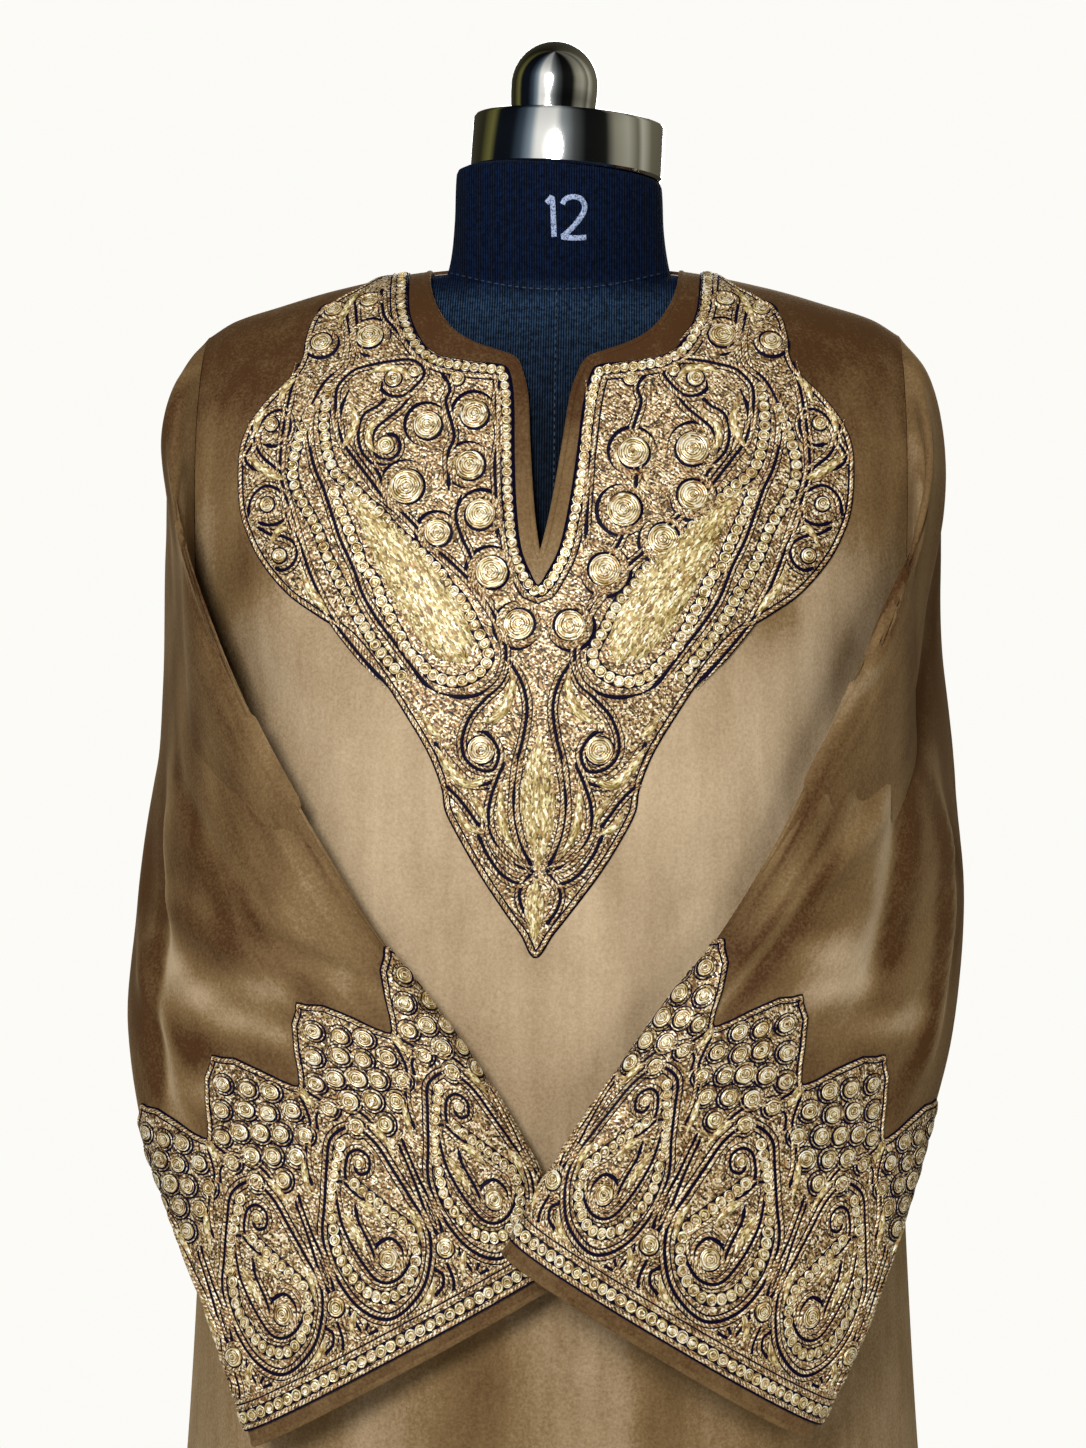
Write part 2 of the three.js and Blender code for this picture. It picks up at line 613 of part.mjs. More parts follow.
// Angles that lie at even distances round a sleeve's cuff
function evenAngles(sleeve, count) {
  const fine = 720;
  const walked = [0];
  let here = tubePoint(sleeve, 0, 1);
  for (let i = 1; i <= fine; i++) {
    const next = tubePoint(sleeve, (i / fine) * 2 * Math.PI, 1);
    walked.push(walked[i - 1] + next.distanceTo(here));
    here = next;
  }
  return Array.from({ length: count }, (_, k) => {
    const goal = (k / count) * walked[fine];
    return (walked.findIndex((length) => length >= goal) / fine) * 2 * Math.PI;
  });
}

const SLEEVES = {
  right: { sign: -1, sections: RIGHT_SLEEVE, folds: RIGHT_SLEEVE_FOLDS },
  left: { sign: 1, sections: LEFT_SLEEVE, folds: LEFT_SLEEVE_FOLDS },
};
const SLEEVE_COLUMNS = 24;
const SLEEVE_ROWS = 17;

function sleeveWall(sleeve) {
  const angles = evenAngles(sleeve, SLEEVE_COLUMNS);
  const grid = (height) => Array.from({ length: SLEEVE_ROWS + 1 }, (_, i) => (
    angles.map((angle) => sleevePoint(sleeve, angle, i / SLEEVE_ROWS, height))
  ));
  return wallBetween(grid(0), grid(-CLOTH), true);
}

// Share along a sleeve that lies a distance above the cuff's edge, at an angle
function alongAbove(sleeve, angle, distance) {
  const step = 0.005;
  let along = 1;
  let walked = 0;
  let here = tubePoint(sleeve, angle, along);
  while (walked < distance && along > step) {
    const next = tubePoint(sleeve, angle, along - step);
    walked += next.distanceTo(here);
    here = next;
    along -= step;
  }
  return along;
}

// Height of the cuff embroidery's pointed upper edge, by the place in one repeat, -1 to 1
function cuffTop(place) {
  const leaf = 0.78 * Math.sqrt(1 - place * place);
  const point = 0.22 * Math.max(1 - Math.abs(place) / 0.25, 0);
  return lerp(CUFF_VALLEY, CUFF_PEAK, leaf + point);
}

const CUFF_COLUMNS_PER_REPEAT = 2 * SLEEVE_COLUMNS / CUFF_REPEATS;
const CUFF_ROWS = 5;
const CUFF_GAP = 1.2;
const MOTIF_RISE = 1.2;
// Share of half a repeat from its pointed middle that a cluster takes, and where a paisley begins
const CLUSTER_REACH = 0.5;
const PAISLEY_FROM = 0.75;

// Embroidery of a cuff, raised where its clusters of discs and its paisleys lie
function cuffEmbroidery(sleeve) {
  const angles = evenAngles(sleeve, CUFF_REPEATS * CUFF_COLUMNS_PER_REPEAT);
  const edge = angles.map((angle) => alongAbove(sleeve, angle, CUFF_PLAIN_EDGE));
  const placeOf = (j) => {
    const turn = (j / CUFF_COLUMNS_PER_REPEAT + 0.5) % 1;
    return 2 * turn - 1;
  };
  const top = angles.map((angle, j) => alongAbove(sleeve, angle, CUFF_PLAIN_EDGE + cuffTop(placeOf(j))));
  const rise = (i, j) => {
    const away = Math.abs(placeOf(j));
    const inCluster = i > CUFF_ROWS / 2 && i < CUFF_ROWS && away <= CLUSTER_REACH;
    const inPaisley = i > 0 && i < CUFF_ROWS / 2 && away >= PAISLEY_FROM;
    return inCluster || inPaisley ? MOTIF_RISE : 0;
  };
  const grid = (height, motifs) => Array.from({ length: CUFF_ROWS + 1 }, (_, i) => (
    angles.map((angle, j) => {
      const along = lerp(edge[j], top[j], i / CUFF_ROWS);
      return sleevePoint(sleeve, angle, along, height + motifs * rise(i, j));
    })
  ));
  return wallBetween(grid(CUFF_GAP + EMBROIDERY_THICKNESS, 1), grid(CUFF_GAP, 0), true);
}

// The dress form's torso: front and back meet at the sides and along the shoulders
function torso() {
  const shares = acrossShares(14);
  const drops = bodyDrops(4, 4, 7);
  const lower = CLOTH + FORM_CLEARANCE;
  const point = (side, across, drop) => {
    const half = (z) => lookUp(TORSO, 'z', 'half', z);
    const top = shoulderZ(across * half(SHOULDER_TOP)) - lower;
    const z = top - drop * (top - FORM_BOTTOM_Z) / (SHOULDER_TOP - HEM_Z);
    const x = across * half(z);
    return new THREE.Vector3(x, sectionY(TORSO, side, x, z, top), z);
  };
  const loop = (drop) => [
    ...shares.map((a) => point(-1, a, drop)),
    ...shares.slice(1, -1).reverse().map((a) => point(1, a, drop)),
  ];
  const rows = drops.map(loop);
  const columns = rows[0].length;
  const positions = rows.flat().flatMap((p) => [p.x, p.y, p.z]);
  positions.push(0, MIDDLE_Y, FORM_BOTTOM_Z);
  const index = [];
  for (let i = 0; i < rows.length - 1; i++) {
    for (let j = 0; j < columns; j++) {
      const next = (j + 1) % columns;
      index.push(i * columns + j, i * columns + next, (i + 1) * columns + next);
      index.push(i * columns + j, (i + 1) * columns + next, (i + 1) * columns + j);
    }
  }
  const lastRow = (rows.length - 1) * columns;
  for (let j = 0; j < columns; j++) {
    index.push(lastRow + j, lastRow + (j + 1) % columns, rows.length * columns);
  }
  return toSolid(facingOut(positions, index));
}

const NECK_SIDES = 32;

function neck() {
  const positions = [];
  const index = [];
  NECK.forEach((row) => {
    const lean = NECK_TILT * smoothstep(row.z, NECK[2].z, NECK_TOP_Z);
    for (let j = 0; j < NECK_SIDES; j++) {
      const angle = (j / NECK_SIDES) * 2 * Math.PI;
      const out = row.half * Math.cos(angle);
      positions.push(row.x + out, row.y + row.deep * Math.sin(angle), row.z - out * Math.tan(lean));
    }
  });
  for (let i = 0; i < NECK.length - 1; i++) {
    for (let j = 0; j < NECK_SIDES; j++) {
      const next = (j + 1) % NECK_SIDES;
      index.push(i * NECK_SIDES + j, i * NECK_SIDES + next, (i + 1) * NECK_SIDES + next);
      index.push(i * NECK_SIDES + j, (i + 1) * NECK_SIDES + next, (i + 1) * NECK_SIDES + j);
    }
  }
  const bottom = positions.length / 3;
  const first = NECK[0];
  const last = NECK[NECK.length - 1];
  positions.push(first.x, first.y, first.z, last.x, last.y, last.z);
  const top = (NECK.length - 1) * NECK_SIDES;
  for (let j = 0; j < NECK_SIDES; j++) {
    const next = (j + 1) % NECK_SIDES;
    index.push(bottom, next, j);
    index.push(bottom + 1, top + j, top + next);
  }
  return toSolid(facingOut(positions, index));
}

// Solid of revolution about Z from a profile of [radius, z]
function turned(profile, sides) {
  const geometry = new THREE.LatheGeometry(profile.map(([r, z]) => new THREE.Vector2(r, z)), sides);
  geometry.rotateX(Math.PI / 2);
  return toGeometry(toSolid(geometry));
}

const CAP_RIM = 2.5;
const cap = turned([
  [0, 0],
  [CAP_DIAMETER / 2 - CAP_RIM, 0],
  [CAP_DIAMETER / 2, CAP_RIM],
  [CAP_DIAMETER / 2, CAP_HEIGHT - CAP_RIM],
  [CAP_DIAMETER / 2 - CAP_RIM, CAP_HEIGHT],
  [CAP_DIAMETER / 4, CAP_HEIGHT + 1],
  [0, CAP_HEIGHT + 1],
], 36);

// The knob on the cap: a ball whose lower part stays nearly as wide as its middle
const KNOB_FOOT = 22.5;
const KNOB_STEPS = 6;
const ballRadius = BALL_DIAMETER / 2;
const ballProfile = [[0, 0], [KNOB_FOOT - 1.5, 0], [KNOB_FOOT, 1.5], [KNOB_FOOT, ballRadius / 2]];
for (let i = 0; i <= KNOB_STEPS; i++) {
  const angle = (i / KNOB_STEPS) * Math.PI / 2;
  ballProfile.push([ballRadius * Math.cos(angle), ballRadius * (1 + Math.sin(angle)) - 1]);
}
ballProfile[ballProfile.length - 1][0] = 0;
const finial = turned(ballProfile, 20);

const POLE_TOP_Z = FORM_BOTTOM_Z - SEAM_GAP;
const POLE_BOTTOM_Z = BASE_THICKNESS + SEAM_GAP;
const pole = turned([
  [0, POLE_BOTTOM_Z],
  [POLE_DIAMETER / 2 + 9, POLE_BOTTOM_Z],
  [POLE_DIAMETER / 2 + 9, POLE_BOTTOM_Z + 18],
  [POLE_DIAMETER / 2, POLE_BOTTOM_Z + 24],
  [POLE_DIAMETER / 2, POLE_TOP_Z - 20],
  [POLE_DIAMETER / 2 + 12, POLE_TOP_Z - 14],
  [POLE_DIAMETER / 2 + 12, POLE_TOP_Z],
  [0, POLE_TOP_Z],
], 20);
const base = turned([
  [0, 0],
  [BASE_DIAMETER / 2, 0],
  [BASE_DIAMETER / 2, BASE_THICKNESS - 4],
  [BASE_DIAMETER / 2 - 6, BASE_THICKNESS],
  [0, BASE_THICKNESS],
], 40);

// Materials
const material = (color, roughness, metalness) => (
  new THREE.MeshStandardMaterial({ color, roughness, metalness })
);
const robe = new THREE.Group();

function addPiece(name, geometry, look) {
  const mesh = new THREE.Mesh(geometry, look);
  mesh.name = name;
  robe.add(mesh);
  return mesh;
}

const velvet = () => material(0x6b5438, 0.85, 0);
const gold = () => material(0xb98a4e, 0.45, 0.6);
addPiece('front', toGeometry(frontPanel), velvet());
addPiece('back', toGeometry(backPanel), velvet());
addPiece('right_sleeve', sleeveWall(SLEEVES.right), velvet());
addPiece('left_sleeve', sleeveWall(SLEEVES.left), velvet());
addPiece('yoke_embroidery', toGeometry(yokeEmbroidery()), gold());
addPiece('right_cuff_embroidery', cuffEmbroidery(SLEEVES.right), gold());
addPiece('left_cuff_embroidery', cuffEmbroidery(SLEEVES.left), gold());
addPiece('neck_binding_front', toGeometry(neckBinding(-1, FRONT_NECK, frontNeckCut)), velvet());
addPiece('neck_binding_back', toGeometry(neckBinding(1, BACK_NECK, backNeckCut)), velvet());
addPiece('form_torso', toGeometry(torso().add(neck())), material(0x14161f, 0.9, 0));
const capMesh = addPiece('form_neck_cap', cap, material(0xb8bcc0, 0.2, 1));
capMesh.position.set(CAP_X, CAP_Y, NECK_TOP_Z + SEAM_GAP);
capMesh.rotation.y = NECK_TILT;
const ballMesh = addPiece('form_finial', finial, material(0xb8bcc0, 0.2, 1));
ballMesh.position.set(CAP_X, CAP_Y, NECK_TOP_Z + SEAM_GAP);
ballMesh.rotation.y = NECK_TILT;
ballMesh.translateX(KNOB_OFF_MIDDLE);
ballMesh.translateZ(CAP_HEIGHT + 1 + SEAM_GAP);
addPiece('form_pole', pole, material(0xa8acb0, 0.25, 1));
addPiece('form_base', base, material(0xa8acb0, 0.3, 1));

export default robe;
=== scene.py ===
import math

import bpy
import numpy as np
from mathutils import Matrix, Vector


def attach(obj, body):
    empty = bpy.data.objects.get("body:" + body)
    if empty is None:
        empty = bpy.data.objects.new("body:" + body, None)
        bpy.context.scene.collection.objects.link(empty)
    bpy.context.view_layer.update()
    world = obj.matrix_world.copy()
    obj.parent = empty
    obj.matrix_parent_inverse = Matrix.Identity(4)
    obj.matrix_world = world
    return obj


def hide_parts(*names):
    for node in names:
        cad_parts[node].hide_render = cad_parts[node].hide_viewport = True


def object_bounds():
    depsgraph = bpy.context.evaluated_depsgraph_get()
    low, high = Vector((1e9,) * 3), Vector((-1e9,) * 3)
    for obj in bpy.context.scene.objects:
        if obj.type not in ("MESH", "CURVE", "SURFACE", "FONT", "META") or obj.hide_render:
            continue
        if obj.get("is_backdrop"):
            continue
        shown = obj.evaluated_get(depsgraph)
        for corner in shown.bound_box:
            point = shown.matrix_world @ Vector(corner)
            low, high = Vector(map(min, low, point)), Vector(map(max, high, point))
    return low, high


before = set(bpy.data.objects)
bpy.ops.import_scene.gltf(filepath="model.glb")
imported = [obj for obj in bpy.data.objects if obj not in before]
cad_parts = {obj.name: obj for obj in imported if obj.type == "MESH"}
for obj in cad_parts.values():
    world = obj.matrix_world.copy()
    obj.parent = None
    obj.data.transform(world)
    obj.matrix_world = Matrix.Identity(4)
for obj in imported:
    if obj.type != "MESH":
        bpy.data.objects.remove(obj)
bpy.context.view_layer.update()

MM = 0.001

# The camera stands level with the chest and looks a little down at the robe
CAMERA_PLACE = (0.0457, -1.4593, 1.242)
CAMERA_DOWN = math.radians(4.14)
CAMERA_TURN = math.radians(2.0)
bpy.ops.object.select_all(action="DESELECT")
bpy.ops.object.camera_add(
    location=CAMERA_PLACE, rotation=(math.pi / 2 - CAMERA_DOWN, 0, CAMERA_TURN)
)
camera = bpy.context.object
camera.name = "camera"
camera.data.lens = 62.15
camera.data.sensor_width = 36
bpy.context.scene.camera = camera

# Sizes of the robe and the form
CLOTH = 2
MIDDLE_Y = 10
HEM_Z = 350
ARMPIT_Z = 1160
ARMHOLE_X = 200
SHOULDER_TOP = 1404
SHOULDER_ROUNDING = 75
SECTION_POWER = 2.4
CUFF_PLAIN_EDGE = 10
CUFF_REPEATS = 6
SLEEVE_SQUARENESS = 0.88
FOLD_FADE = 0.07
FORM_BOTTOM_Z = 700
NECK_TOP_Z = 1454
NECK_TILT = math.radians(4)
CAP_PLACE = (8, 3, NECK_TOP_Z - 1)
KNOB_PLACE = (0.2, 3, NECK_TOP_Z + 31)

# Shoulder line: distance from the middle, height
SHOULDER = [(0, 1404), (74, 1399), (125, 1389), (160, 1379), (185, 1371), (200, 1362)]
# Body by height: depth of the front, depth of the back, half width
BODY = [
    (1404, 78, 70, 234), (1350, 84, 86, 234), (1300, 104, 98, 232), (1250, 123, 104, 226),
    (1200, 138, 106, 214), (1160, 145, 106, 200), (1120, 148, 106, 202.5), (1000, 151, 109, 205),
    (900, 155, 118, 207), (800, 160, 128, 212), (700, 167, 137, 219), (550, 180, 150, 233),
    (350, 196, 166, 252),
]
# Long folds of the body: side, place across, height where they begin, width and depth at the hem
BODY_FOLDS = [
    (-1, -0.78, 980, 34, 7), (-1, -0.46, 800, 42, -6), (-1, -0.12, 760, 46, 7),
    (-1, 0.26, 820, 40, -6), (-1, 0.58, 900, 38, 8), (-1, 0.86, 1000, 26, -4),
    (1, -0.8, 900, 30, 6), (1, -0.42, 1080, 40, -9), (1, -0.05, 1180, 44, 10),
    (1, 0.33, 1060, 38, -9), (1, 0.68, 940, 36, 8),
]
# Soft dents of the body's cloth: side, start x and z, end x and z, half width, depth
BODY_DENTS = [
    (-1, -30, 1120, 10, 1040, 20, -2.5), (-1, 25, 1110, 34, 1000, 16, 2),
    (-1, -150, 1200, -95, 1090, 16, 1), (-1, -178, 1190, -125, 1120, 13, -2.5),
    (-1, 150, 1205, 105, 1100, 15, 1), (-1, 172, 1180, 140, 1110, 12, -2.5),
    (-1, -70, 1060, -55, 940, 18, 2), (-1, 75, 1050, 62, 930, 18, -2),
    (-1, -105, 840, -120, 640, 26, -3), (-1, 40, 880, 60, 620, 24, 3),
    (-1, 130, 800, 150, 560, 24, -3), (-1, -20, 800, -35, 560, 24, -3),
    (1, -110, 1240, -60, 1120, 20, -3), (1, 120, 1230, 70, 1100, 20, -3),
    (1, -30, 1330, -20, 1200, 24, -2), (1, 30, 1180, 20, 980, 20, 2.5),
    (1, -90, 960, -110, 700, 26, 3), (1, 90, 900, 120, 620, 26, -3),
    (1, -50, 1120, -70, 420, 20, -5), (1, 12, 1040, 22, 400, 22, 4),
    (1, 74, 1150, 92, 420, 20, -5), (1, -128, 980, -150, 400, 22, 4),
    (1, 140, 1040, 162, 420, 22, 4), (1, -100, 1180, -112, 700, 16, -3),
]
# Half widths by height of the necklines, the yoke and the plain band inside it
FRONT_NECK = [
    (1425, 73), (1391, 72), (1380, 69), (1369, 63.5), (1359, 55), (1352, 43.5), (1346.5, 28.5),
    (1343, 20.5), (1335, 16.5), (1322, 13), (1298, 10.5), (1272, 7.5), (1250, 4.2), (1237, 1.2),
]
BACK_NECK = [(1425, 73), (1391, 72), (1382, 66), (1376, 50), (1373, 26), (1372, 6)]
YOKE_OUTLINE = [
    (1425, 92), (1397, 93), (1388, 105), (1380, 118), (1370, 130), (1357, 134), (1345, 135),
    (1335, 140), (1322, 153), (1309, 163), (1296, 168.5), (1281, 169.5), (1262, 168),
    (1248, 163.5), (1232, 154.5), (1215, 139), (1203, 121), (1192, 103), (1172, 86), (1150, 71),
    (1130, 59), (1112, 52), (1100, 50), (1086, 43), (1066, 31), (1046, 17), (1034, 8), (1022, 0.5),
]
YOKE_INNER = [
    (1430, 84), (1388, 83), (1372, 81), (1360, 76.5), (1350, 70), (1344, 60), (1341, 44),
    (1339, 27), (1334, 22.5), (1318, 19.5), (1290, 17.5), (1264, 15), (1240, 11), (1226, 5),
    (1219, 0.3),
]
YOKE_MIDDLE_X = -2
YOKE_TIP_LEAN = -2

# Sections of the sleeves from the armhole to the hem: front fold, outer face, rear fold, body side
RIGHT_SLEEVE = [
    [(-202, -66, 1258), (-214, 10, 1341), (-206, 74, 1235), (-205, 8, 1155)],
    [(-199, -84, 1234), (-225, 4, 1298), (-211, 76, 1185), (-208, 0, 1138)],
    [(-187, -103, 1205), (-226, -4, 1250), (-214, 72, 1132), (-210, -10, 1115)],
    [(-168, -118, 1168), (-223, -14, 1190), (-214, 62, 1085), (-208, -24, 1095)],
    [(-145, -130, 1126), (-222, -28, 1128), (-215, 42, 1035), (-203, -45, 1070)],
    [(-117, -141, 1080), (-213, -64, 1070), (-223, 10, 990), (-192, -66, 1030)],
    [(-88, -150, 1036), (-190, -118, 1015), (-233, -34, 950), (-168, -94, 992)],
    [(-60, -154, 1000), (-154, -144, 968), (-226, -78, 910), (-146, -116, 955)],
    [(-31, -156, 959), (-120, -160, 928), (-206, -108, 870), (-118, -134, 915)],
    [(-3, -157, 911), (-92, -170, 870), (-180, -130, 815), (-90, -143, 862)],
    [(26, -157, 862), (-68, -172, 808), (-157, -146, 756), (-69, -149, 811)],
]
LEFT_SLEEVE = [
    [(202, -66, 1258), (214, 10, 1340), (206, 74, 1235), (205, 8, 1155)],
    [(199, -84, 1236), (224, 4, 1296), (211, 76, 1185), (208, 0, 1138)],
    [(189, -103, 1210), (226, -4, 1250), (212, 72, 1132), (210, -10, 1115)],
    [(171, -120, 1176), (222, -14, 1190), (213, 62, 1085), (208, -24, 1095)],
    [(148, -134, 1134), (221, -32, 1128), (215, 42, 1035), (203, -47, 1070)],
    [(122, -150, 1084), (214, -72, 1070), (221, 8, 990), (190, -70, 1030)],
    [(92, -167, 1038), (183, -130, 1015), (220, -42, 950), (164, -102, 992)],
    [(62, -180, 1000), (144, -160, 965), (209, -86, 912), (140, -126, 955)],
    [(34, -186, 961), (115, -178, 925), (193, -116, 872), (116, -144, 915)],
    [(6, -190, 918), (89, -190, 870), (171, -138, 820), (92, -158, 866)],
    [(-20, -192, 876), (65, -196, 820), (143, -156, 768), (67, -167, 822)],
]

# Folds of the sleeves: angle and share along where each begins and ends, width in degrees, depth.
# Angle 0 is the front fold and 90 the outer face.
RIGHT_FOLDS = [
    (100, 0.46, 120, 0.6, 15, -5), (132, 0.44, 144, 0.6, 18, 4), (100, 0.5, 66, 0.6, 15, 4),
    (52, 0.2, 78, 0.46, 20, -3),
    (100, 0.5, 104, 0.62, 6, -6), (105, 0.6, 130, 0.72, 6, -5), (98, 0.57, 66, 0.68, 6, 5),
    (80, 0.5, 60, 0.6, 5, -4), (70, 0.62, 40, 0.7, 5, -4), (125, 0.55, 112, 0.68, 6, 4),
    (50, 0.04, 62, 0.3, 8, 2.5), (76, 0.1, 84, 0.34, 9, -2.5), (30, 0.3, 44, 0.5, 8, 2),
    (20, 0.42, 36, 0.58, 7, -2), (140, 0.3, 128, 0.5, 9, 2.5), (112, 0.2, 108, 0.4, 9, 2),
    (210, 0.2, 225, 0.5, 14, -3), (300, 0.3, 280, 0.6, 14, -3),
]
LEFT_FOLDS = [
    (88, 0.3, 74, 0.58, 15, -5), (60, 0.46, 44, 0.58, 15, -6), (12, 0.28, 26, 0.48, 15, -4),
    (94, 0.44, 120, 0.6, 15, -5), (110, 0.36, 112, 0.58, 18, 4),
    (88, 0.37, 72, 0.52, 6, -5.5), (72, 0.52, 90, 0.66, 6, -5), (60, 0.54, 40, 0.62, 6, 5),
    (42, 0.6, 46, 0.72, 5, -4), (92, 0.48, 128, 0.68, 6, 5), (-4, 0.32, 14, 0.5, 7, -3),
    (40, 0.06, 12, 0.3, 9, 3), (24, 0.05, 2, 0.24, 8, -3), (66, 0.08, 70, 0.34, 9, 2.5),
    (84, 0.14, 92, 0.36, 9, -2), (30, 0.44, 30, 0.6, 6, -2.5), (110, 0.52, 84, 0.64, 6, -2),
    (130, 0.3, 140, 0.5, 10, -2.5), (215, 0.25, 230, 0.52, 14, -3), (290, 0.3, 300, 0.6, 14, -3),
]

# The form's torso, with the columns of the robe's body
TORSO = [
    (1404, 74, 67, 192), (1350, 80, 82, 190), (1300, 98, 93, 184), (1250, 112, 97, 176),
    (1180, 112, 94, 164), (1100, 98, 84, 144), (1020, 88, 78, 130), (940, 96, 88, 144),
    (850, 108, 104, 168), (760, 106, 106, 170), (700, 98, 98, 160),
]
# The form's neck by height: middle x and y, half width, half depth
NECK = [
    (1330, 3, 4, 62, 54), (1378, 3, 8, 74, 57), (1391, 3.5, 7, 67, 56), (1404, 4, 5, 63, 57),
    (1424, 4, 4, 60.5, 58), (1447, 4, 4, 59.5, 58), (1452, 4, 4, 58.2, 56.8), (1454, 4, 4, 54, 53),
]


# Smooth curve from one value to another with the slope at each end
def between(start, end, start_slope, end_slope, share):
    square = share * share
    cube = square * share
    return (
        (2 * cube - 3 * square + 1) * start
        + (cube - 2 * square + share) * start_slope
        + (3 * square - 2 * cube) * end
        + (cube - square) * end_slope
    )


# A table's column at places on its first column, smooth between the rows
def look_up(table, column, place):
    rows = np.array(sorted(table), float)
    key, value = rows[:, 0], rows[:, column]
    slope = np.gradient(value, key)
    slope[1:-1] = (value[2:] - value[:-2]) / (key[2:] - key[:-2])
    inner = np.clip(place, key[0], key[-1])
    low = np.clip(np.searchsorted(key, inner, side="right") - 1, 0, len(key) - 2)
    span = key[low + 1] - key[low]
    share = (inner - key[low]) / span
    return between(value[low], value[low + 1], slope[low] * span, slope[low + 1] * span, share)


def values_of(table, k):
    return np.array([row[k] for row in table], float)


# Share of the way from start to end, eased at both
def ramp(value, start, end):
    share = np.clip((value - start) / (end - start), 0, 1)
    return share * share * (3 - 2 * share)


def shoulder_z(x):
    return look_up(SHOULDER, 1, np.abs(x))


def rounding_at(drop):
    rest = 1 - np.clip(drop, 0, SHOULDER_ROUNDING) / SHOULDER_ROUNDING
    return np.sqrt(1 - rest * rest)


# Depth of a section of the robe or the form, which is rounded off below its top
def section_y(table, side, x, z, top):
    share = np.minimum(np.abs(x) / look_up(table, 3, z), 1)
    depth = look_up(table, 1 if side < 0 else 2, z)
    return MIDDLE_Y + side * depth * rounding_at(top - z) * np.sqrt(1 - share**SECTION_POWER)


def body_half(z):
    return np.where(z > ARMPIT_Z, ARMHOLE_X, look_up(BODY, 3, z))


# Drape of the body's cloth: long folds, which deepen towards the hem, and soft dents
def fold_rise(side, share, z):
    half = look_up(BODY, 3, z)
    rise = np.zeros_like(z)
    for fold_side, at, start, width, depth in BODY_FOLDS:
        if fold_side == side:
            down = ramp(start - z, 0, start - HEM_Z)
            rise += depth * down * np.exp(-(((share - at) * half / width) ** 2))
    x = share * body_half(z)
    for dent_side, x0, z0, x1, z1, width, depth in BODY_DENTS:
        if dent_side == side:
            run_x, run_z = x1 - x0, z1 - z0
            along = ((x - x0) * run_x + (z - z0) * run_z) / (run_x**2 + run_z**2)
            along = np.clip(along, 0, 1)
            away = (x - x0 - along * run_x) ** 2 + ((z - z0 - along * run_z) / 2) ** 2
            rise += depth * np.exp(-away / width**2)
    return rise * (1 - share**8)


# Point of the robe's body for a share across, -1 to 1, and a drop below the shoulder line
def body_point(side, across, drop):
    top = shoulder_z(across * ARMHOLE_X)
    z = top - drop * (top - HEM_Z) / (SHOULDER_TOP - HEM_Z)
    x = across * body_half(z)
    y = section_y(BODY, side, x, z, top) + side * fold_rise(side, across, z)
    return np.stack([x, y, z], -1)


# Radius at which the cloth turns over the shoulder, for drawing the yoke flat
SHOULDER_TURN = 78


# Flat drawing points for places on the front, with the turn over the shoulder laid flat
def unrolled(points):
    x, z = np.asarray(points, float).T
    start = shoulder_z(x) - SHOULDER_ROUNDING
    turn = np.arcsin(np.clip((z - start) / SHOULDER_ROUNDING, 0, 1))
    return np.stack([x, np.where(z > start, start + SHOULDER_TURN * turn, z)], -1)


def unit(vectors):
    return vectors / np.maximum(np.linalg.norm(vectors, axis=-1, keepdims=True), 1e-9)


# Points on the robe's body for flat points of x, unrolled height and rise above the cloth
def on_body(flat, side=-1):
    def at(x, v):
        top = shoulder_z(x)
        start = top - SHOULDER_ROUNDING
        turn = np.clip((v - start) / SHOULDER_TURN, 0, math.pi / 2 - 0.001)
        z = np.where(v > start, start + SHOULDER_ROUNDING * np.sin(turn), v)
        y = section_y(BODY, side, x, z, top) + side * fold_rise(side, x / body_half(z), z)
        return np.stack([x, y, z], -1)

    x, v, rise = np.asarray(flat, float).T
    step = 0.4
    out = unit(np.cross(at(x + step, v) - at(x - step, v), at(x, v + step) - at(x, v - step)))
    return at(x, v) - out * side * rise[:, None]


# Cosine or sine of a sleeve's section, which is squarer than an ellipse
def softened(value):
    return np.sign(value) * np.abs(value) ** SLEEVE_SQUARENESS


# Every station of a sleeve at the given angles: the armhole, then its sections
def sleeve_stations(sleeve, angle):
    top = shoulder_z(np.array(ARMHOLE_X))
    z = ARMPIT_Z + (top - ARMPIT_Z) * (1 + np.sin(angle)) / 2
    front = section_y(BODY, -1, np.full_like(z, ARMHOLE_X), z, top)
    back = section_y(BODY, 1, np.full_like(z, ARMHOLE_X), z, top)
    y = np.where(np.cos(angle) > 0, front, back)
    rings = [np.stack([np.full_like(z, sleeve["sign"] * (ARMHOLE_X + 0.3)), y, z], -1)]
    cos = softened(np.cos(angle))[..., None]
    sin = np.abs(softened(np.sin(angle)))[..., None]
    outer = (np.sin(angle) > 0)[..., None]
    for fold, face, rear, body in sleeve["sections"]:
        middle = (np.array(fold, float) + rear) / 2
        raised = np.where(outer, np.array(face) - middle, np.array(body) - middle)
        rings.append(middle + (np.array(fold) - middle) * cos + raised * sin)
    first = 2 * rings[0] - rings[1]
    last = 2 * rings[-1] - rings[-2]
    return np.stack([first, *rings, last])


# Point of a sleeve's smooth tube at an angle and a share along it
def tube_point(sleeve, angle, along):
    angle, along = np.broadcast_arrays(np.asarray(angle, float), np.asarray(along, float))
    stations = sleeve_stations(sleeve, angle.ravel())
    count = len(sleeve["sections"])
    place = np.clip(along.ravel(), 0, 1) * count
    low = np.minimum(place.astype(int), count - 1)
    pick = np.arange(place.size)
    four = [stations[low + k, pick] for k in range(4)]
    share = (place - low)[:, None]
    start_slope = (four[2] - four[0]) / 2
    end_slope = (four[3] - four[1]) / 2
    points = between(four[1], four[2], start_slope, end_slope, share)
    return points.reshape(angle.shape + (3,))


